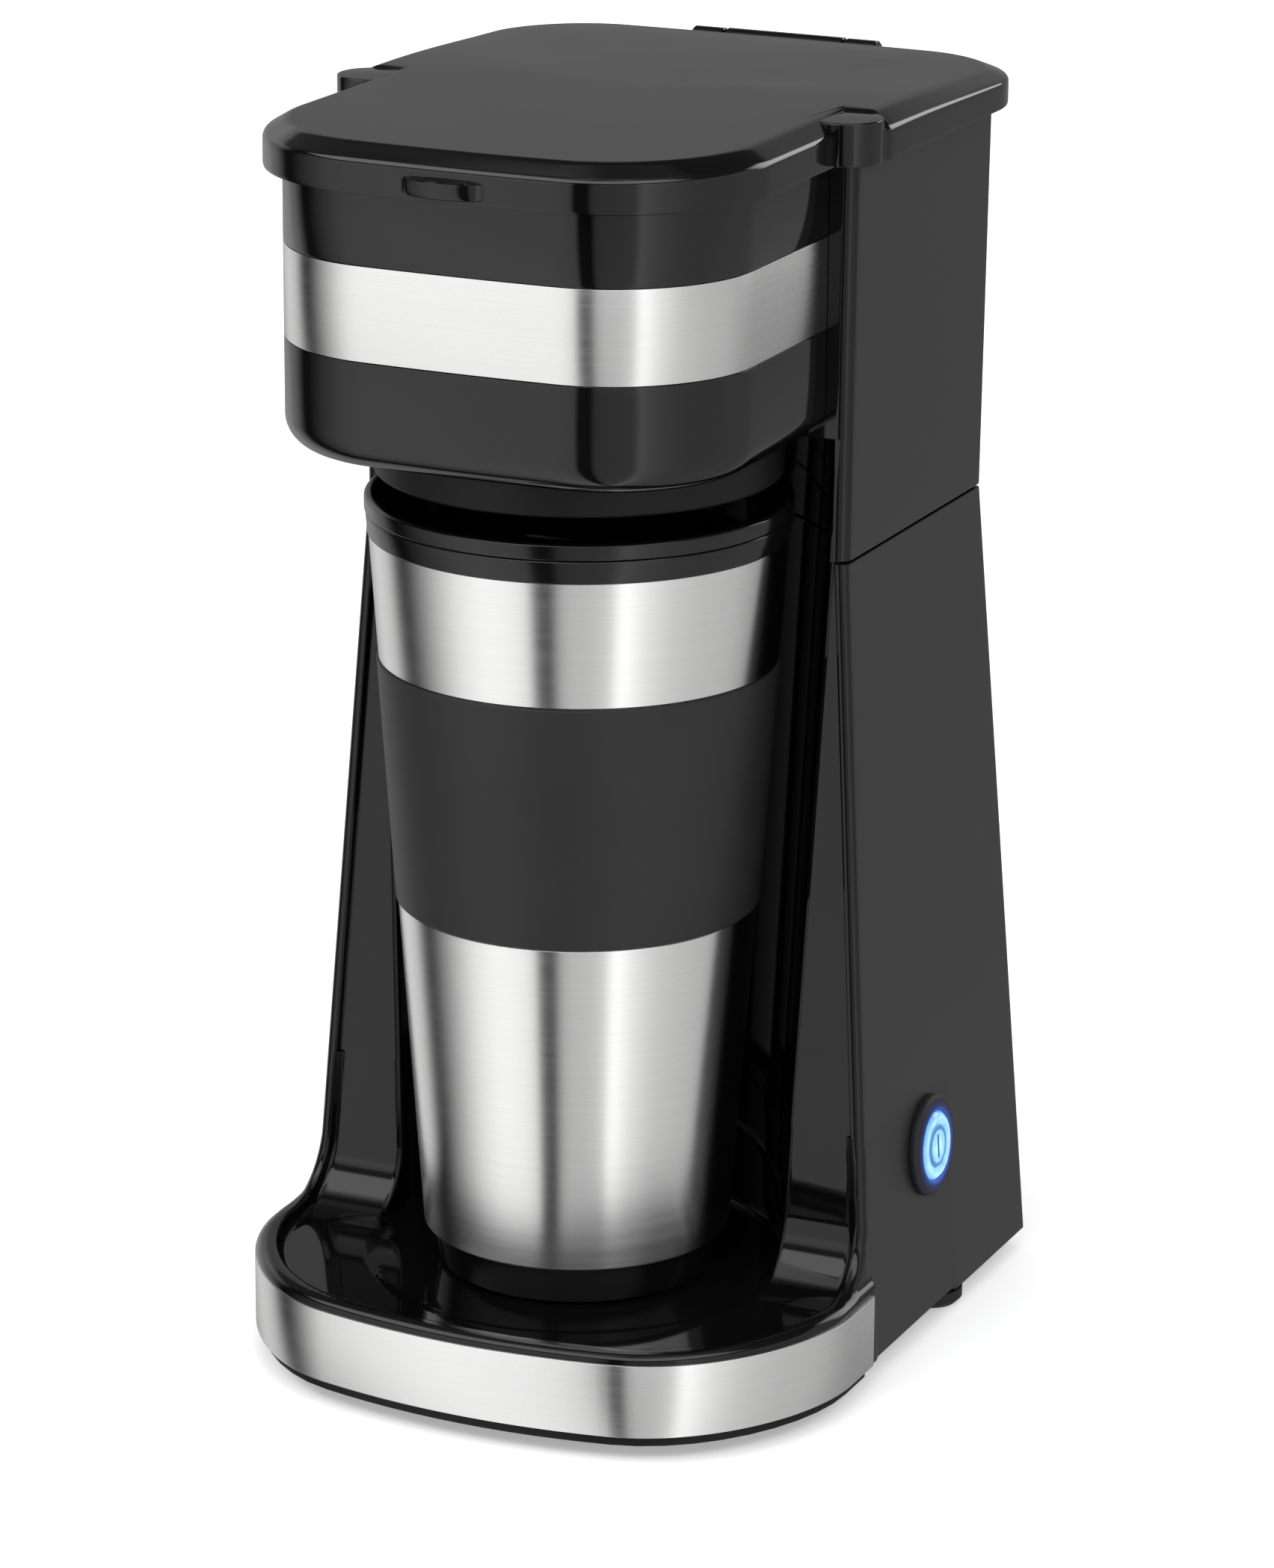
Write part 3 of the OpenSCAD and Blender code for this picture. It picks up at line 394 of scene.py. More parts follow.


# the satin housing carries a painted highlight along its sharp outer edges
M_SATIN = moulded("satin_housing", (0.014, 0.014, 0.0145), 0.36, 0.03, 2600.0, 0.05, specular=0.42, painted_edge_highlight=0.06)
M_GLOSS = moulded("gloss_housing", (0.0022, 0.0022, 0.0024), 0.045, 0.015, 900.0, 0.008)
M_BASE = moulded("gloss_base", (0.0022, 0.0022, 0.0024), 0.05, 0.015, 900.0, 0.008, specular=0.38)
M_LID = moulded("satin_lid", (0.006, 0.006, 0.0063), 0.20, 0.03, 2200.0, 0.03)
M_UNDER = moulded("matt_underside", (0.004, 0.004, 0.004), 0.5, 0.05, 2000.0, 0.06, specular=0.25)
M_RUBBER = moulded("rubber", (0.010, 0.010, 0.010), 0.62, 0.06, 3000.0, 0.25, specular=0.3)
M_GRIP = moulded("grip_rubber", (0.014, 0.014, 0.0147), 0.5, 0.03, 5200.0, 0.08, specular=0.35)
M_BEZEL = moulded("soft_bezel", (0.010, 0.010, 0.011), 0.55, 0.05, 3800.0, 0.5, specular=0.35)
M_MUGP = moulded("mug_plastic", (0.003, 0.003, 0.0033), 0.12, 0.03, 1400.0, 0.02)
M_STEEL = brushed("brushed_trim", (0.79, 0.79, 0.785), 0.27)
M_MUG = brushed("brushed_mug", (0.84, 0.84, 0.835), 0.25)
M_LINER = brushed("satin_liner", (0.66, 0.66, 0.66), 0.34)
M_ZINC = brushed("zinc_steel", (0.60, 0.60, 0.58), 0.38, 200.0, 300.0, 0.2, 0.0, False)
M_SHEATH = brushed("sheath_steel", (0.25, 0.25, 0.25), 0.48, 300.0, 300.0, 0.3, 0.0, False)
M_ALU = brushed("cast_aluminium", (0.62, 0.63, 0.64), 0.5, 400.0, 400.0, 0.4, 0.0, False)
M_MESH = brushed("steel_mesh", (0.42, 0.42, 0.43), 0.45, 2600.0, 2600.0, 0.6, 0.0, False, 0.5)
M_TANK = moulded("tank_grey", (0.085, 0.09, 0.095), 0.36, 0.05, 900.0, 0.05)
M_NATURAL = moulded("natural_plastic", (0.62, 0.60, 0.53), 0.42, 0.05, 800.0, 0.05)
M_SILICONE = moulded("silicone", (0.55, 0.53, 0.46), 0.55, 0.05, 700.0, 0.08)
M_BAKELITE = moulded("bakelite", (0.02, 0.017, 0.015), 0.4, 0.05, 900.0, 0.05)
M_SLEEVE = moulded("sleeve", (0.68, 0.65, 0.55), 0.8, 0.05, 2600.0, 0.6)
M_BOARD = moulded("board_green", (0.02, 0.10, 0.035), 0.42, 0.05, 600.0, 0.05)
M_LIT = lit("lit_cap")
# painted light: the ring around the cap glows blue where the cap's light would fall on it
glow(M_BEZEL)

# CAD nodes that are shown as they are, with these materials
CARRIED = {
    "base_plate": M_UNDER, "rubber_feet": M_RUBBER, "base_screws": M_ZINC, "hinge_pin": M_ZINC,
    "shower_plate": M_NATURAL, "water_tank": M_TANK, "tank_strainer": M_NATURAL, "valve_seat": M_NATURAL,
    "valve_ball": M_ZINC, "inlet_hose": M_SILICONE, "riser_hose": M_SILICONE, "hose_clips": M_ZINC,
    "water_spout": M_NATURAL, "heater_tube": M_ALU, "heating_element": M_SHEATH, "heater_saddle": M_ALU,
    "heater_bracket": M_ZINC, "bracket_screws": M_ZINC, "thermostat": M_BAKELITE, "thermal_fuse": M_SLEEVE,
    "terminal_block": M_NATURAL, "cord_gland": M_RUBBER, "filter_holder": M_UNDER, "filter_frame": M_UNDER,
    "button_bezel": M_BEZEL, "button_cap": M_LIT, "button_stem": M_NATURAL, "button_spring": M_ZINC,
    "power_switch": M_BAKELITE, "led_board": M_BOARD, "mug_liner": M_LINER, "mug_lid_seal": M_SILICONE,
    "mug_lid_slider": M_MUGP,
}
# millimetres by which a carried node's edges are rounded
SOFT_EDGE = {"base_plate": 0.3, "rubber_feet": 0.4, "cord_gland": 0.5, "filter_holder": 0.3, "shower_plate": 0.3,
             "water_tank": 0.4, "button_bezel": 0.35, "button_cap": 0.15, "thermostat": 0.3, "terminal_block": 0.4}
for node, mat in CARRIED.items():
    o = NODES[node]
    o.data.materials.clear()
    o.data.materials.append(mat)
    weld = o.modifiers.new("weld", "WELD")
    weld.merge_threshold = MERGE
    if node in SOFT_EDGE:
        bev = o.modifiers.new("bevel", "BEVEL")
        bev.width = SOFT_EDGE[node] * MM
        bev.segments = 3
        bev.limit_method = "ANGLE"
        bev.angle_limit = radians(40)
        bev.harden_normals = False
    for p in o.data.polygons:
        p.use_smooth = True
    weighted(o)
    o.data.set_sharp_from_angle(angle=radians(CREASE))

# ------------------------------------------------------------------ travel mug
r_top = (SHELL_HI[0] - SHELL_LO[0]) / 2
r_bot = 33.1  # radius of the wall at the mug's foot
MUG_T = 0.7  # thickness of the steel wall
RECESS = 0.35  # depth of the grip's recess in the wall
GRIP_OUT = 0.45  # how far the grip stands out of the wall
MLID_Z = 179.0  # underside of the mug's lid
MLID_IN = 4.2  # how much narrower the lid is inside the collar
z_bot, z_top = SHELL_LO[2], SHELL_HI[2]


def mug_r(z):
    return r_bot + (r_top - r_bot) * (z - z_bot) / (z_top - z_bot)


shell = lathe("mug_wall", fillet([
    (0, z_bot + 0.2, 0), (r_bot - 0.4, z_bot + 0.1, 0.25), (mug_r(z_bot + 0.5), z_bot + 0.5, 0.3),
    (mug_r(GRIP_LO[2] - 0.4), GRIP_LO[2] - 0.4, 0.1), (mug_r(GRIP_LO[2]) - RECESS, GRIP_LO[2], 0),
    (mug_r(GRIP_HI[2]) - RECESS, GRIP_HI[2], 0), (mug_r(GRIP_HI[2] + 0.4), GRIP_HI[2] + 0.4, 0.1),
    (r_top, z_top, 0.1), (r_top - MUG_T, z_top, 0.1),
    (mug_r(z_bot + 1) - MUG_T, z_bot + 1, 0.4), (0, z_bot + 1, 0)], 5), 192)
place(shell, "mug", "mug_steel", M_MUG, "mug_shell")
grip = lathe("mug_sleeve", fillet([
    (mug_r(GRIP_LO[2]) - 0.3, GRIP_LO[2] + 0.05, 0), (mug_r(GRIP_LO[2]) + GRIP_OUT, GRIP_LO[2] + 0.05, 0.35),
    (mug_r(GRIP_HI[2]) + GRIP_OUT, GRIP_HI[2] - 0.05, 0.35), (mug_r(GRIP_HI[2]) - 0.3, GRIP_HI[2] - 0.05, 0)], 5), 192)
place(grip, "mug", "grip_rubber", M_GRIP, "mug_grip")
collar = lathe("mug_ring", fillet([
    (r_top - 3.9, z_top, 0), (r_top + 0.25, z_top + 0.02, 0.3), (r_top + 0.7, COLLAR_TOP, 0.7),
    (r_top - 3.9, COLLAR_TOP, 0.2)], 6), 192)
place(collar, "mug", "mug_plastic", M_MUGP, "mug_collar")
foot = lathe("mug_base", fillet([
    (0, TRAY_Z + 2, 0), (26, TRAY_Z + 2, 0.5), (26.4, TRAY_Z, 0.3), (29.8, TRAY_Z, 0.8), (31.4, z_bot - 0.05, 0.5),
    (31.2, z_bot + 0.15, 0), (0, z_bot + 0.15, 0)], 6), 160)
place(foot, "mug", "mug_plastic", M_MUGP, "mug_foot")
rl = r_top - MLID_IN
mug_lid = lathe("mug_cover", fillet([
    (0, MLID_Z + 0.2, 0), (rl - 0.3, MLID_Z, 0.6), (rl, MLID_Z + 1.2, 0), (rl - 1, MLID_Z + 1.25, 0),
    (rl - 1, MLID_Z + 3.55, 0), (rl, MLID_Z + 3.6, 0), (rl, COLLAR_TOP + 0.05, 0),
    (r_top + 0.9, COLLAR_TOP + 0.05, 0.4), (r_top + 0.9, MLID_TOP, 0.9), (r_top - 0.7, MLID_TOP, 0.5),
    (rl - 2, COLLAR_TOP + 1.5, 1.2), (rl - 2, MLID_Z + 2.2, 1.0), (0, MLID_Z + 2.2, 0)], 6), 192)
place(mug_lid, "mug", "mug_plastic", M_MUGP, "mug_lid")

# ------------------------------------------------------------------ skirt and chamber
sk = (SKIRT_HI[0] - SKIRT_LO[0]) / 2
SKIRT_T = 2.2
OUTLET_R = 14.0  # opening through which the coffee drips
CHAMBER_R, CHAMBER_IN, CHAMBER_TOP = 46.55, 44.4, 255.0
CHAMBER_LO, CHAMBER_HI = 209.6, 211.8  # underside and upper side of its floor
skirt = lathe("head_skirt", fillet([
    (OUTLET_R, SKIRT_HI[2] - SKIRT_T, 0), (sk - SKIRT_T, SKIRT_HI[2] - SKIRT_T, 1.0), (sk - SKIRT_T, SKIRT_LO[2], 0.6),
    (sk, SKIRT_LO[2], 1.2), (sk, SKIRT_HI[2], 0), (OUTLET_R, SKIRT_HI[2], 0)], 6))
place(skirt, "machine", "gloss_black_housing", M_UNDER, "outlet_skirt")
chamber = lathe("head_chamber", fillet([
    (OUTLET_R, CHAMBER_LO + 0.05, 0), (CHAMBER_R, CHAMBER_LO + 0.05, 0), (CHAMBER_R, CHAMBER_TOP, 0.6),
    (CHAMBER_IN, CHAMBER_TOP, 0.6), (CHAMBER_IN, CHAMBER_HI, 1.5), (OUTLET_R, CHAMBER_HI, 0.3)], 5), 128)
place(chamber, "machine", "gloss_black_housing", M_UNDER)

# ------------------------------------------------------------------ brew head
BZ0, BZ1 = HBAND_LO[2], HBAND_HI[2]
H_END = -11.1  # where the head's sides meet the tower
HEAD = dict(w=51.0, yf=-77.5, rf=29.2, bow=2.6, y_end=H_END)


def head_path(d):
    return front_path(d=d, **HEAD)


def circle_path(r, like):
    """Points on a circle around the mug's axis, one for each point of another open outline."""
    end = math.asin((H_END - MUG_Y) / r)
    phi = [math.atan2(y - MUG_Y, x) for x, y in like]
    phi = [p - 2 * pi if p > pi / 2 else p for p in phi]
    a0, a1 = phi[0], phi[-1]
    b0, b1 = -pi - end, end
    return [(r * cos(b0 + (p - a0) * (b1 - b0) / (a1 - a0)), MUG_Y + r * sin(b0 + (p - a0) * (b1 - b0) / (a1 - a0)))
            for p in phi]


R_H = 6.5  # rounding of the head's lower edge
HEAD_T, BAND_T = 3.3, 0.8  # thickness of the head's wall and of the steel bands
UNDER_R = 43.3  # opening in the head's underside
sec = [(0.35, HZ1), (0.08, HZ1 - 0.15), (0, HZ1 - 0.5), (0, BZ1 + 0.35), (0.12, BZ1 + 0.12), (BAND_T, BZ1 + 0.05),
       (BAND_T, BZ0 - 0.05), (0.12, BZ0 - 0.12), (0, BZ0 - 0.35), (0, HZ0 + R_H)]
sec += [(R_H * (1 - cos(pi / 2 * k / 14)), HZ0 + R_H * (1 - sin(pi / 2 * k / 14))) for k in range(1, 15)]
rings = [at(head_path(d), z) for d, z in sec]
for r, z in ((UNDER_R, HZ0), (UNDER_R, CHAMBER_LO), (CHAMBER_R + 0.1, CHAMBER_LO), (CHAMBER_R + 0.1, CHAMBER_HI)):
    rings.append(at(circle_path(r, head_path(0)), z))
rings += [at(head_path(HEAD_T), z) for z in (CHAMBER_HI, HZ1)]
head = loft("head_shell", rings, close_rings=False, loop=True)
place(head, "machine", "gloss_black_housing", M_GLOSS, "brew_head")


def band(name, path, z0, z1, node):
    """A steel band with eased edges, along an outline that can be inset."""
    section = [(BAND_T, z0 + 0.02), (0.25, z0 + 0.02), (0.07, z0 + 0.09), (0, z0 + 0.3),
               (0, z1 - 0.3), (0.07, z1 - 0.09), (0.25, z1 - 0.02), (BAND_T, z1 - 0.02)]
    strip = loft(name, [at(path(d), z) for d, z in section], close_rings=False, loop=True, angle=50)
    place(strip, "machine", "brushed_steel_trim", M_STEEL, node)


band("head_strip", head_path, BZ0, BZ1, "head_band")

# ------------------------------------------------------------------ filter mesh
SIEVE_LO, SIEVE_HI = mm_box("filter_mesh")
sieve_r, sieve_t, sieve_in = SIEVE_HI[0], 0.5, 6.7  # radius, thickness, how much narrower the floor is
sieve = lathe("filter_sieve", fillet([
    (0, SIEVE_LO[2], 0), (sieve_r - sieve_in, SIEVE_LO[2], 0.2), (sieve_r, SIEVE_HI[2], 0),
    (sieve_r - sieve_t, SIEVE_HI[2], 0), (sieve_r - sieve_in - sieve_t, SIEVE_LO[2] + sieve_t, 0.6),
    (0, SIEVE_LO[2] + sieve_t, 0)], 5), 128)
place(sieve, "machine", "steel_mesh", M_MESH, "filter_mesh")

# ------------------------------------------------------------------ base band
Z0, Z1 = BBAND_LO[2], BBAND_HI[2]
BASE = dict(w=BBAND_HI[0], yf=-65.3, rf=35.5, bow=15.3, y_end=BBAND_HI[1])


def base_path(d):
    return front_path(d=d, **BASE)


band("base_strip", base_path, Z0, Z1, "base_band")

# ------------------------------------------------------------------ lid
LW0, LW1 = 54.8, 62.0  # the lid's half width over the head and over the tank
LID_F, LID_R, STEP_Y = -80.6, 81.5, -7.0  # front and rear edge, and where the lid gets wider
BOW_F, BOW_R = 4.0, 1.5  # how far the front and the rear edge bow out
HINGE_W = 14.5  # half width of the notch over the hinge block
HINGE_Y, HINGE_Z = 84.0, 269.0
NOTCH_R = 3.85  # the notch keeps this far from the hinge's axis


def in_notch(x, y):
    return abs(x) < HINGE_W and y > 60


def lid_outline(d, cut_z, z):
    """The lid's outline at height z, inset by d: narrower over the head, wider over the tank.
    Over the hinge it rises to cut_z and keeps clear of the hinge block."""
    w0, w1 = LW0 - d, LW1 - d
    yf, yr, ys = LID_F + d, LID_R - d, STEP_Y + d
    rf, rr, rs = 32 - d, 26 - d, max(3 - d, 0.6)
    half = []
    for k in range(0, 21):
        x = (w0 - rf) * k / 20
        half.append((x, yf - bow_at(x, w0, BOW_F)))
    for k in range(1, 29):
        a = radians(270 + 90 * k / 28)
        x = w0 - rf + rf * cos(a)
        half.append((x, yf + rf + rf * sin(a) - bow_at(x, w0, BOW_F)))
    for k in range(1, 6):
        half.append((w0, (yf + rf) + (ys - 0.4 - yf - rf) * k / 5))
    half.append((w0 + 0.4, ys))
    for k in range(0, 9):
        a = radians(270 + 90 * k / 8)
        half.append((w1 - rs + rs * cos(a), ys + rs + rs * sin(a)))
    for k in range(1, 6):
        half.append((w1, (ys + rs) + (yr - rr - ys - rs) * k / 6))
    for k in range(0, 25):
        a = radians(90 * k / 24)
        x = w1 - rr + rr * cos(a)
        half.append((x, yr - rr + rr * sin(a) + bow_at(x, w1, BOW_R)))
    edge = w1 - rr
    across = [edge * k + HINGE_W * (1 - k) for k in (0.75, 0.5, 0.2)]
    for x in across + [HINGE_W + 0.05, HINGE_W - 0.05, 9, 4.5]:
        half.append((x, yr + bow_at(x, w1, BOW_R)))
    half.append((0.0, yr + bow_at(0, w1, BOW_R)))
    pts = mirrored(half)
    out = []
    for x, y in pts:
        h = z
        if in_notch(x, y):
            h = z if cut_z is None else max(z, cut_z)
            y = min(y, HINGE_Y - math.sqrt(max(0.0, NOTCH_R ** 2 - (h - HINGE_Z) ** 2)))
        out.append((x, y, h))
    return out


CUT = 271.0  # lower edge of the lid over the hinge
RIM_Z = 274.6  # height at which the lid's edge meets its top
FALL = 1.8  # how much lower the top lies at the hinge
CROWN = 0.45  # how much higher the lid's middle lies than its edge
EDGE = fillet([(0.0, LZ0 + 1, 0), (0.0, 271.7, 2.2), (4.9, RIM_Z, 4.5), (9.5, RIM_Z, 0)], 9, closed=False)
EDGE[-1] = (EDGE[-2][0] + 0.3, RIM_Z)


def eased(t):
    t = max(0.0, min(1.0, t))
    return t * t * (3 - 2 * t)


def fall(y):
    """How much lower the top lies at y, towards the hinge."""
    return FALL * eased((y - 5) / 70)


LID_T = 2.4
lid_sec = [(LID_T, LZ0 + 0.4), (2.0, LZ0), (0.5, LZ0), (0.12, LZ0 + 0.15), (0.0, LZ0 + 0.6)]
rings = [lid_outline(LID_T, None, 270.7)] + [lid_outline(d, CUT, z) for d, z in lid_sec]
for d, z in EDGE:
    low = CUT + 0.1 * d
    rings.append([(x, y, max(h - fall(y) * max(z - HINGE_Z, 0) / 5, low if in_notch(x, y) else 0))
                  for x, y, h in lid_outline(d, low, z)])
top_d = EDGE[-1][0]
top = lid_outline(top_d, None, RIM_Z)
W0, W1, YS = LW0 - top_d, LW1 - top_d, STEP_Y + top_d
for s in (0.955, 0.85, 0.68, 0.45, 0.2):
    ring = []
    for x, y, z in top:
        w = W0 + (W1 - W0) * eased((y + 40) / 75)
        y += 0.02 * max(abs(x) - W0, 0)
        x = math.copysign(w, x) if abs(x) > 40 and -45 < y < 45 else x * w / (W0 if y < YS else W1)
        ring.append((x * s, -1 + (y + 1) * s, RIM_Z - fall(y) * s + CROWN * (1 - s ** 2.2)))
    rings.append(ring)
lid = loft("lid_cover", rings, angle=30)
place(lid, "lid", "gloss_black_housing", M_GLOSS, "lid")
lid.data.materials.append(M_LID)
for p in lid.data.polygons:
    if p.normal.z > 0.985 and p.center.z > 0.272:
        p.material_index = 1
BOSS_X, BOSS_Y, BOSS_R, BOSS_TOP = 54.1, -9.6, 7.6, 274.1
for s, n in ((-1, "lid_boss_left"), (1, "lid_boss_right")):
    boss = lathe(n, fillet([
        (0, BOSS_TOP, 0), (BOSS_R, BOSS_TOP, 0.4), (BOSS_R, LZ0, 0.5), (5.0, LZ0, 0.3), (5.0, 268, 0),
        (0, 268, 0)], 5), 72, centre=(s * BOSS_X, BOSS_Y))
    place(boss, "lid", "gloss_black_housing", M_GLOSS)
TAB = dict(w=10.8, yf=-84.4, rf=4.2, bow=3.0, y_end=-79.5, n=16, m=12)
tab_sec = [(1.6, 265.9), (0.7, 266.0), (0.2, 266.35), (0.0, 266.9), (0.0, 268.9), (0.15, 269.4), (0.5, 269.7),
           (1.0, 269.75), (1.6, 269.4), (2.6, 269.1)]
tab = loft("lid_tab", [at(front_path(d=d, **TAB), z) for d, z in tab_sec])
place(tab, "lid", "gloss_black_housing", M_GLOSS)

# ------------------------------------------------------------------ towers and base
FLOOR_Z, LIP_Z, BOTTOM_Z = 21.5, 23.9, Z0  # the tray, the lip around it and the underside
WALL = 2.5
R_BACK = 180.0  # radius of the bowed back
RIM, RIM_STEP = 3.0, 1.6  # width of the arms' outer rim, and how far it stands in front of their faces
CUT_Z, CUT_Y = 56.0, 33.0  # where the base's front ends and the plain walls begin
TALL = 180.6  # height over which the walls lean in by the next three
IN_W, IN_F, IN_B = 11.9, 7.7, 14.4


def tower_w(z):
    return 68.2 - IN_W * z / TALL


def tower_f(z):
    return -18.5 + IN_F * z / TALL


def tower_b(z):
    return 87.4 - IN_B * z / TALL


def bay_r(z):
    return 45.6 + 7.6 * (z - FLOOR_Z) / (TALL - FLOOR_Z)


# the upper tower: half width, front and back at its foot, height of its top, and how much wider and deeper it gets
UP_W, UP_F, UP_B, UP_Z, UP_OUT_W, UP_OUT_B = 56.3, -10.8, 73.0, 264.3, 0.5, 0.8


def resample(points, n):
    """n points spaced evenly along a polyline."""
    p = np.array(points, float)
    s = np.concatenate([[0], np.cumsum(np.hypot(*np.diff(p, axis=0).T))])
    t = np.linspace(0, s[-1], n)
    return [(float(x), float(y)) for x, y in zip(np.interp(t, s, p[:, 0]), np.interp(t, s, p[:, 1]))]


def round_off(points, n):
    """Rounds the inner points (x, y, r) of an open polyline."""
    out = [points[0][:2]]
    for (ax, ay, _), (x, y, r), (bx, by, _) in zip(points, points[1:], points[2:]):
        a, b, p = Vector((ax - x, ay - y)).normalized(), Vector((bx - x, by - y)).normalized(), Vector((x, y))
        half = math.acos(max(-1, min(1, a.dot(b)))) / 2
        c = p + (a + b).normalized() * (r / sin(half))
        v0, v1 = p + a * (r / math.tan(half)) - c, p + b * (r / math.tan(half)) - c
        sweep = math.atan2(v0.x * v1.y - v0.y * v1.x, v0.dot(v1))
        a0 = math.atan2(v0.y, v0.x)
        out += [(c.x + r * cos(a0 + sweep * k / n), c.y + r * sin(a0 + sweep * k / n)) for k in range(n + 1)]
    return out + [points[-1][:2]]


def rear_half(w, b, r, y_from):
    """From the side wall at y_from around the eased rear corner to the middle of the bowed back."""
    yc = b - r
    corner = (w, yc + math.sqrt(r * r - w * w))
    a0 = math.asin((w - 2.5) / r)
    bow = [(r * sin(a0 * (1 - k / 16)), yc + r * cos(a0 * (1 - k / 16))) for k in range(17)]
    side = resample([(w, y_from), (corner[0], corner[1] - 3)], 6)
    rear = round_off([(*side[-1], 0), (*corner, 0.8), (*bow[0], 0)], 5)
    return side[:-1] + rear[:-1] + bow


def u_outline(w, f, b, rb, d=0.0, step=RIM_STEP, bead=2.3, inner=False):
    """Closed outline of a tower: round bay, arms, sides, bowed back. Inset by d.
    step is how far the arm's face lies behind its outer rim."""
    w, f, b, rb, rk = w - d, f + d, b - d, rb + d, R_BACK - d
    fy = f + step
    xe = math.sqrt(max(rb * rb - (fy - MUG_Y) ** 2, 1))
    if inner and xe > w - 0.4:
        xe = w - 0.4
        fy = MUG_Y + math.sqrt(rb * rb - xe * xe)
    t0 = math.atan2(fy - MUG_Y, xe) + 4.0 / rb
    bay = [(rb * cos(t), MUG_Y + rb * sin(t)) for t in np.linspace(pi / 2, t0, 33)]
    count = 38 if step > 0 else 24
    if inner:
        front = resample([bay[-1], (xe, fy), (w, fy), (w, fy + 6)], count)
    elif step > 0:
        front = round_off([(*bay[-1], 0), (xe, fy, 1.5), (w - RIM, fy, 0.5), (w - RIM, f, 0.7), (w, f, bead),
                           (w, fy + 6, 0)], 8)
    else:
        front = round_off([(*bay[-1], 0), (xe, fy, 1.2), (w, f, bead), (w, fy + 6, 0)], 10)
    half = bay[:-1] + front[:-1] + rear_half(w, b, rk, fy + 6)
    return mirrored(half)


def lower_ring(z, d=0.0, inner=False):
    return at(u_outline(tower_w(z), tower_f(z), tower_b(z), bay_r(z), d, inner=inner), z)


def two_tone(obj, body, slot, *nodes):
    """Satin on the outer sides and the back, gloss everywhere else."""
    place(obj, body, slot, M_BASE, *nodes)
    obj.data.materials.append(M_SATIN)
    for p in obj.data.polygons:
        c, n = p.center / MM, p.normal
        w = tower_w(c.z) if c.z < WAIST_LO else UP_W + UP_OUT_W * (c.z - WAIST_LO) / 84
        if (abs(n.x) > 0.93 and abs(c.x) > w - 0.35 and c.y > -17) or (n.y > 0.5 and c.y > 45):
            p.material_index = 1
    return obj


# upper part of the lower tower, hollow, with the bay between its arms
rings = [lower_ring(z) for z in np.linspace(CUT_Z, WAIST_LO - 0.35, 12)]
rings += [moved_to(lower_ring(WAIST_LO, 0.08), WAIST_LO - 0.1), lower_ring(WAIST_LO, 0.35)]
rings += [lower_ring(z, WALL, True) for z in (WAIST_LO, 140.0, 100.0, CUT_Z)]
shaft = weighted(loft("lower_tower", rings, loop=True))

# rear wall of the lower tower below it
rings = []
for z, d in ((BOTTOM_Z - 1.4, 0.4), (BOTTOM_Z - 1.0, 0.0), (30.0, 0.0), (CUT_Z, 0.0), (CUT_Z, WALL), (30.0, WALL),
             (BOTTOM_Z - 1.4, WALL)):
    half = rear_half(tower_w(z) - d, tower_b(z) - d, R_BACK - d, CUT_Y)
    rings.append(at(half + [(-x, y) for x, y in reversed(half[:-1])], z))
rear = weighted(loft("lower_rear", rings, close_rings=False, loop=True))


# ------------------------------------------------------------------ front of the base, as a rounded solid
def round_max(a, b, r):
    return np.minimum(np.maximum(a, b), -r) + np.hypot(np.maximum(a + r, 0), np.maximum(b + r, 0))


def round_min(a, b, r):
    return -round_max(-a, -b, r)


def plan_distance(x, y):
    """Distance from the base's outline, negative inside."""
    w, bow, rc, yf = BASE["w"], BASE["bow"], BASE["rf"], BASE["yf"]
    y1 = y + bow * np.clip(1 - x * x / (w * w), 0, None)
    qx, qy = np.abs(x) - (w - rc), (yf + rc) - y1
    out = np.hypot(np.maximum(qx, 0), np.maximum(qy, 0))
    phi = out + np.minimum(np.maximum(qx, qy), 0) - rc
    corner = out > 1e-6
    nx = np.where(corner, np.maximum(qx, 0) / np.maximum(out, 1e-6), np.where(qx > qy, 1.0, 0.0)) * np.sign(x)
    ny = -np.where(corner, np.maximum(qy, 0) / np.maximum(out, 1e-6), np.where(qx > qy, 0.0, 1.0))
    gx = nx - ny * 2 * bow * x / (w * w)
    return phi / np.hypot(gx, ny)


BUTTON = (np.array(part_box("button_bezel")[0]) + np.array(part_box("button_bezel")[1])) / 2 / MM
TILT, LEAN = math.atan(IN_W / TALL), math.atan(IN_F / TALL)  # of the side walls and of the arms' fronts
LIP_IN, TRAY_IN = 0.9, 5.2  # how far the lip and the tray's edge lie inside the band
POCKET_R, POCKET_X = 9.1, 42.0  # hole for the button, and how deep in X it reaches


def base_solid(x, y, z):
    """Below 0 inside the front of the base. The last number of each round_max or round_min is a rounding radius."""
    side = (np.abs(x) - tower_w(z)) * cos(TILT)
    front = (tower_f(z) - y) * cos(LEAN)
    plan = plan_distance(x, y)
    low = round_max(plan + LIP_IN, z - LIP_Z, 2.0)
    slab = round_max(low, y + 14, 1.0)
    arm = round_max(round_min(front, low, 14.0), side, 2.3)
    body = round_min(arm, slab, 1.4)
    face = round_min(front + RIM_STEP, z - FLOOR_Z, 15.0)
    inside = np.maximum(plan + TRAY_IN, np.abs(x) - tower_w(z) + RIM)
    body = round_max(body, -round_max(inside, -face, 1.6), 1.1)
    bay = round_max((np.hypot(x, y - MUG_Y) - bay_r(z)), FLOOR_Z - z, 2.0)
    body = round_max(body, -bay, 1.5)
    ax_y, ax_z = y - BUTTON[1], (z - BUTTON[2]) * cos(TILT) - (tower_w(BUTTON[2]) - x) * sin(TILT)
    pocket = np.maximum(np.hypot(ax_y, ax_z) - POCKET_R, POCKET_X - x)
    return np.maximum(body, -pocket)


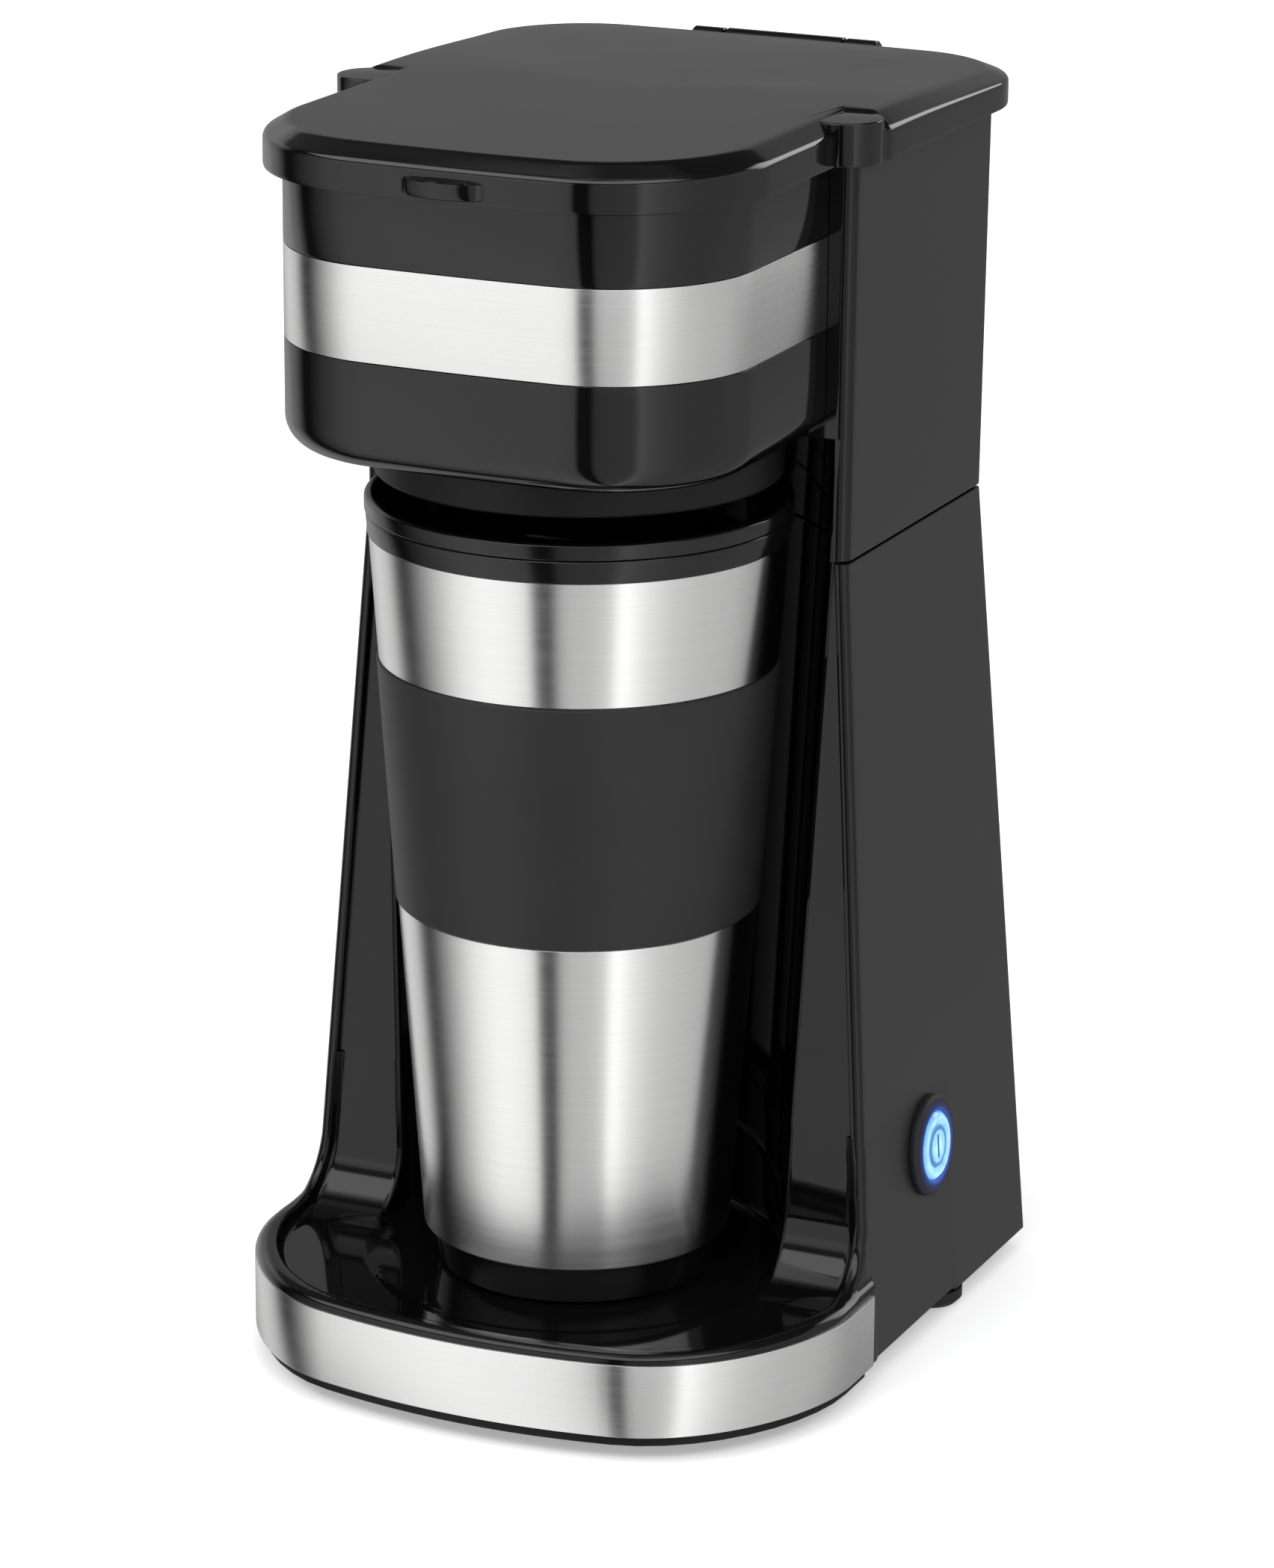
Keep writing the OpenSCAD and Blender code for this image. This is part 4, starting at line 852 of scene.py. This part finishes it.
def steps(*stretches):
    """Grid lines: (from, to, spacing) one after another."""
    out = []
    for a, b, s in stretches:
        out += list(np.linspace(a, b, max(1, int(round((b - a) / s))) + 1))
    return np.unique(np.round(out, 4))


def surface_of(name, field, gx, gy, gz, top, back, bottom):
    """A mesh of quads on the surface field = 0, closed off at three planes."""
    X, Y, Z = np.meshgrid(gx, gy, gz, indexing="ij")
    V = field(X, Y, Z)
    inside = (V < 0) & (Z < top) & (Y < back) & (Z > bottom)
    shape = tuple(n - 1 for n in V.shape)
    total, weight = np.zeros(shape + (3,)), np.zeros(shape)
    count = np.zeros(shape, int)
    corners = [(i, j, k) for i in (0, 1) for j in (0, 1) for k in (0, 1)]

    def part(a, c):
        return a[c[0]:c[0] + shape[0], c[1]:c[1] + shape[1], c[2]:c[2] + shape[2]]

    for c in corners:
        count += part(inside, c)
    lows = np.min([part(V, c) for c in corners], axis=0)
    highs = np.max([part(V, c) for c in corners], axis=0)
    real = (lows < 0) & (highs > 0)
    for c in corners:
        for axis in range(3):
            if c[axis]:
                continue
            e = tuple(v + (1 if a == axis else 0) for a, v in enumerate(c))
            i0, i1 = part(inside, c), part(inside, e)
            v0, v1 = part(V, c), part(V, e)
            cross = i0 != i1
            t = np.clip(np.where((v0 < 0) != (v1 < 0), v0 / np.where(v0 == v1, 1, v0 - v1), 0.5), 0, 1)
            for a, G in enumerate((X, Y, Z)):
                g0, g1 = part(G, c), part(G, e)
                total[..., a] += np.where(cross, g0 + t * (g1 - g0), 0)
            weight += cross
    active = (count > 0) & (count < 8)
    index = -np.ones(shape, int)
    index[active] = np.arange(active.sum())
    P = total[active] / weight[active][:, None]
    on = real[active]
    snap, h = 0.03, 0.01  # how near a point lies to a closing plane, and half the step for the slope
    flat_z = (np.abs(P[:, 2] - top) < snap) | (np.abs(P[:, 2] - bottom) < snap)
    flat_y = np.abs(P[:, 1] - back) < snap

    def slope(Q):
        return np.stack([(field(Q[:, 0] + h * (a == 0), Q[:, 1] + h * (a == 1), Q[:, 2] + h * (a == 2))
                          - field(Q[:, 0] - h * (a == 0), Q[:, 1] - h * (a == 1), Q[:, 2] - h * (a == 2))) / (2 * h)
                         for a in range(3)], axis=1)

    for _ in range(5):
        g = slope(P)
        g[flat_z, 2] = 0
        g[flat_y, 1] = 0
        g[~on] = 0
        v = field(P[:, 0], P[:, 1], P[:, 2])
        step = v / np.maximum((g * g).sum(axis=1), 0.05)
        P -= np.clip(step, -0.8, 0.8)[:, None] * g
    P[np.abs(P[:, 2] - top) < snap, 2] = top
    P[np.abs(P[:, 2] - bottom) < snap, 2] = bottom
    P[flat_y, 1] = back
    quads = []
    for axis in range(3):
        b, c = [a for a in range(3) if a != axis]
        lo, hi = [slice(None)] * 3, [slice(None)] * 3
        lo[axis], hi[axis] = slice(0, -1), slice(1, None)
        for s in (lo, hi):
            s[b] = slice(1, -1)
            s[c] = slice(1, -1)
        a0, a1 = inside[tuple(lo)], inside[tuple(hi)]
        n = np.argwhere(a0 != a1)
        flip = a0[tuple(n.T)]
        ids = []
        for db, dc in ((0, 0), (1, 0), (1, 1), (0, 1)):
            q = n.copy()
            q[:, b] += db
            q[:, c] += dc
            ids.append(index[tuple(q.T)])
        q = np.stack(ids, axis=1)
        if axis == 1:
            flip = ~flip
        q[~flip] = q[~flip][:, ::-1]
        quads.append(q)
    quads = np.concatenate(quads)
    mesh = bpy.data.meshes.new(name)
    mesh.from_pydata((P * MM).tolist(), [], quads.tolist())
    mesh.validate()
    mesh.update()
    for p in mesh.polygons:
        p.use_smooth = True
    normals = slope(P)
    normals[~on] = 0
    for ids, vec in ((np.abs(P[:, 2] - top) < 1e-6, (0, 0, 1)), (np.abs(P[:, 2] - bottom) < 1e-6, (0, 0, -1)),
                     (flat_y, (0, 1, 0))):
        normals[ids & ~on] = vec
    size = np.linalg.norm(normals, axis=1)
    normals[size < 1e-6] = (0, 0, 1)
    normals /= np.maximum(np.linalg.norm(normals, axis=1), 1e-6)[:, None]
    mesh.normals_split_custom_set_from_vertices(normals.tolist())
    return added(name, mesh)


def across_cut(v):
    """Two grid lines close to a closing plane."""
    return v - 0.02, v + 0.02, 0.04


gx = steps((-70, -40, 0.7), (-40, 40, 2.0), (40, 70, 0.7))
gy = steps((-82, -55, 0.6), (-55, -9, 0.75), (-9, CUT_Y - 0.02, 1.6), across_cut(CUT_Y), (CUT_Y + 0.02, CUT_Y + 1, 1))
gz = steps((BOTTOM_Z - 1, BOTTOM_Z - 0.02, 1), across_cut(BOTTOM_Z), (BOTTOM_Z + 0.02, 19, 2.2), (19, 42, 0.6),
           (42, CUT_Z - 0.02, 1.4), across_cut(CUT_Z), (CUT_Z + 0.02, CUT_Z + 1, 1))
front = surface_of("base_front", base_solid, gx, gy, gz, CUT_Z, CUT_Y, BOTTOM_Z)

two_tone(shaft, "machine", "satin_black_housing", "lower_housing")
two_tone(rear, "machine", "satin_black_housing")
two_tone(front, "machine", "satin_black_housing")

# collar around the cord's gland, turned upright and laid over towards the back
GLAND_X, GLAND_Z = -30.0, 24.0
gland = lathe("gland_boss", [(6.15, 78.0), (9.5, 78.0), (9.5, 84.1), (9.0, 84.6), (6.65, 84.6), (6.15, 84.1)], 64,
              centre=(0, 0))
gland.data.transform(Matrix.Translation((GLAND_X * MM, 0, GLAND_Z * MM)) @ Matrix.Rotation(-pi / 2, 4, "X"))
place(gland, "machine", "satin_black_housing", M_SATIN)


# upper tower
def upper_ring(z, d=0.0, rb=None, inner=False, bay_z=None):
    """Outline of the upper tower at z, inset by d. Points on the bay lie at bay_z at most."""
    k = (z - WAIST_HI) / (UP_Z - WAIST_HI)
    rb = bay_r(z) if rb is None else rb
    pts = u_outline(UP_W + UP_OUT_W * k, UP_F, UP_B + UP_OUT_B * k, rb, d, 0.0, 3.2, inner)
    out = []
    for x, y in pts:
        on_bay = bay_z is not None and math.hypot(x, y - MUG_Y) < rb + d + 0.05
        out.append((x, y, min(z, bay_z) if on_bay else z))
    return out


CH_BAY = 46.9  # radius of the bay where it holds the chamber
CH_Z, CH_RIM = 207.0, 254.5  # where that begins and ends
rings = [moved_to(upper_ring(WAIST_HI, WALL, inner=True), WAIST_LO + 0.03),
         moved_to(upper_ring(WAIST_HI, 1.2), WAIST_LO + 0.03), moved_to(upper_ring(WAIST_HI, 1.2), WAIST_HI),
         upper_ring(WAIST_HI, 0.35), moved_to(upper_ring(WAIST_HI, 0.08), WAIST_HI + 0.1), upper_ring(WAIST_HI + 0.35)]
rings += [upper_ring(z) for z in (190.0, 200.0, CH_Z)]
rings += [upper_ring(z, 0.0, CH_BAY) for z in (CH_Z, 220.0, 235.0, 250.0)]
rings += [upper_ring(UP_Z - 0.3, 0.0, CH_BAY, bay_z=CH_RIM - 0.2), upper_ring(UP_Z, 0.3, CH_BAY, bay_z=CH_RIM),
          upper_ring(UP_Z, WALL, CH_BAY, True, CH_RIM), upper_ring(250.0, WALL, CH_BAY, True),
          upper_ring(CHAMBER_LO, WALL, CH_BAY, True), upper_ring(CH_Z, WALL, None, True),
          upper_ring(190.0, WALL, None, True)]
upper = weighted(loft("upper_tower", rings, loop=True))
two_tone(upper, "machine", "satin_black_housing", "upper_housing")


def arc(r, a0, a1, n):
    """Points (y, z) around the hinge's axis, between two angles in degrees."""
    return [(HINGE_Y + r * cos(a), HINGE_Z + r * sin(a)) for a in np.linspace(radians(a0), radians(a1), n)]


def extrude_x(name, profile, x0, x1, ease=0.3):
    """A closed profile of (y, z) between two X, its ends eased."""
    mid = Vector((sum(p[0] for p in profile) / len(profile), sum(p[1] for p in profile) / len(profile)))
    rings = []
    for x, k in ((x0, 1), (x0 + ease, 0), (x1 - ease, 0), (x1, 1)):
        ring = []
        for p in profile:
            v = Vector(p) - mid
            v = v * (1 - k * ease / max(v.length, 1))
            ring.append((x, mid.x + v.x, mid.y + v.y))
        rings.append(ring)
    return loft(name, rings)


BLOCK_W, KNUCKLE_W = 14.0, 22.0  # X at which the middle part and the knuckles beside it end
block = extrude_x("hinge_block", [(72.5, 256.5), (78.5, 257.0), (81.0, 259.2)] + arc(3.5, -50, 175, 26)
                  + [(78.0, 269.2), (72.5, 269.2)], -BLOCK_W, BLOCK_W)
place(block, "machine", "satin_black_housing", M_GLOSS)
for s, n in ((-1, "lid_knuckle_left"), (1, "lid_knuckle_right")):
    x0, x1 = sorted((s * (BLOCK_W + 0.6), s * KNUCKLE_W))
    knuckle = extrude_x(n, arc(3.4, -140, 140, 30) + [(78.5, 272.0), (78.5, 267.6), (80.6, 267.6)], x0, x1)
    place(knuckle, "lid", "gloss_black_housing", M_GLOSS)

# ------------------------------------------------------------------ floor, camera and light
FLOOR = 30  # metres, half the floor's side
floor_mesh = bpy.data.meshes.new("floor")
floor_mesh.from_pydata([(-FLOOR, -FLOOR, 0), (FLOOR, -FLOOR, 0), (FLOOR, FLOOR, 0), (-FLOOR, FLOOR, 0)], [], [(0, 1, 2, 3)])
floor = added("floor", floor_mesh)
floor.location.z = -0.0002
floor_mat, nt, bsdf = new_material("pale_floor")
pale = stops(nt, noise(nt, 3.0, 2.0), ((0.3, (0.90, 0.90, 0.90)), (0.7, (0.92, 0.92, 0.92))))
nt.links.new(pale, bsdf.inputs["Base Color"])
bsdf.inputs["Roughness"].default_value = 0.9
bsdf.inputs["Specular IOR Level"].default_value = 0.0
nt.links.new(pale, bsdf.inputs["Emission Color"])
bsdf.inputs["Emission Strength"].default_value = 0.35
floor.visible_glossy = False
floor_mesh.materials.append(floor_mat)

# the camera as fitted to the picture's edges: where it stands, where it looks, and a slight roll
cam_data = bpy.data.cameras.new("camera")
cam = added("camera", cam_data)
az, pitch, roll = radians(24.837), radians(17.343), radians(0.378)
back = Vector((sin(az) * cos(pitch), -cos(az) * cos(pitch), sin(pitch)))
level = Vector((cos(az), sin(az), 0))
up = level.cross(-back)
right = cos(roll) * level + sin(roll) * up
up = -sin(roll) * level + cos(roll) * up
cam.matrix_world = Matrix.Translation((0.5000, -1.0756, 0.4926)) @ Matrix((right, up, back)).transposed().to_4x4()
cam_data.sensor_fit = "VERTICAL"
cam_data.sensor_height = 36.0
cam_data.lens = 132.06
cam_data.shift_x = 0.0044
cam_data.clip_start = 0.05
cam_data.clip_end = 100
bpy.context.scene.camera = cam

bpy.context.scene.view_settings.view_transform = "Standard"
world = bpy.data.worlds.new("studio")
bpy.context.scene.world = world
world.use_nodes = True
wn = world.node_tree
bg = wn.nodes["Background"]
tent_at = wn.nodes.new("ShaderNodeTexCoord")
parts = wn.nodes.new("ShaderNodeSeparateXYZ")
wn.links.new(tent_at.outputs["Generated"], parts.inputs["Vector"])
forward = math_node(wn, "MULTIPLY", parts.outputs["Y"], -1)
turn = spread(wn, math_node(wn, "ARCTAN2", parts.outputs["X"], forward), 0, 1, -pi, pi)
height = spread(wn, parts.outputs["Z"], 0, 1, -1, 1)


def levels(source, table):
    """A grey ramp through (position, level)."""
    return stops(wn, source, [(position, (v, v, v)) for position, v in table])


# a white tent with darker gaps between its panels, by compass angle from the front towards +X
TENT = ((-180, 0.26), (-150, 0.26), (-120, 0.75), (-104, 0.62), (-92, 0.02), (-84, 0.02), (-76, 0.18), (-60, 0.58),
        (-46, 0.95), (-30, 1.14), (-15, 1.08), (-3, 0.92), (1, 0.03), (10, 0.01), (14, 0.44), (19, 0.56), (31, 0.58),
        (43, 0.70), (49, 1.4), (55, 1.2), (63, 0.95), (79, 0.70), (97, 0.60), (121, 0.54), (145, 0.34), (170, 0.28))
tent = levels(turn, [((deg + 180) / 360, v) for deg, v in TENT])
# by height, from straight down (0) to straight up (1): how bright the tent's sides are, and the roof's own light
SKY = ((0.0, 1.0, 0.0), (0.60, 1.0, 0.0), (0.67, 1.35, 0.0), (0.72, 1.0, 0.0), (0.745, 0.25, 0.0), (0.79, 0.2, 0.0),
       (0.81, 0.2, 2.6), (0.93, 0.2, 2.6), (0.95, 0.6, 0.3))
STRENGTH = 4.0
sides = levels(height, [(z, v / STRENGTH) for z, v, _ in SKY])
roof = levels(height, [(z, v / STRENGTH) for z, _, v in SKY])
walls = mixed(wn, tent, sides, 1.0, "MULTIPLY")
# the roof's panel covers the forward half only
panel = mixed(wn, (0, 0, 0, 1), roof, spread(wn, parts.outputs["Y"], 0, 1, 0.05, -0.2))
# a panel high up at the right rear, which draws the pale line along the lid's right edge
beside = levels(turn, ((0.0, 0), (0.88, 0), (0.905, 0.7), (0.96, 0.7), (0.975, 0)))
above = levels(height, ((0.0, 0), (0.57, 0), (0.61, 1), (0.76, 1), (0.80, 0)))
panels = math_node(wn, "ADD", panel, math_node(wn, "MULTIPLY", beside, above))
wn.links.new(mixed(wn, walls, panels, 1.0, "ADD"), bg.inputs["Color"])
bg.inputs["Strength"].default_value = STRENGTH


def softbox(name, place_at, aim, size, power):
    """Soft light for shape and shadow. The tent alone shows in the gloss."""
    light = bpy.data.lights.new(name, "AREA")
    light.shape = "RECTANGLE"
    light.size, light.size_y = size
    light.energy = power
    o = added(name, light)
    o.location = place_at
    o.rotation_euler = (Vector(aim) - Vector(place_at)).to_track_quat("-Z", "Y").to_euler()
    o.visible_glossy = False


softbox("left_box", (-1.3, -1.0, 0.9), (0, 0, 0.15), (1.0, 1.4), 5)
softbox("right_box", (1.5, -0.3, 0.9), (0, 0, 0.15), (1.0, 1.4), 4)
softbox("top_box", (0.0, 0.1, 1.8), (0, 0, 0.1), (1.6, 1.6), 6)
softbox("back_box", (-0.5, 1.8, 0.8), (0, 0, 0.15), (1.2, 1.2), 5)
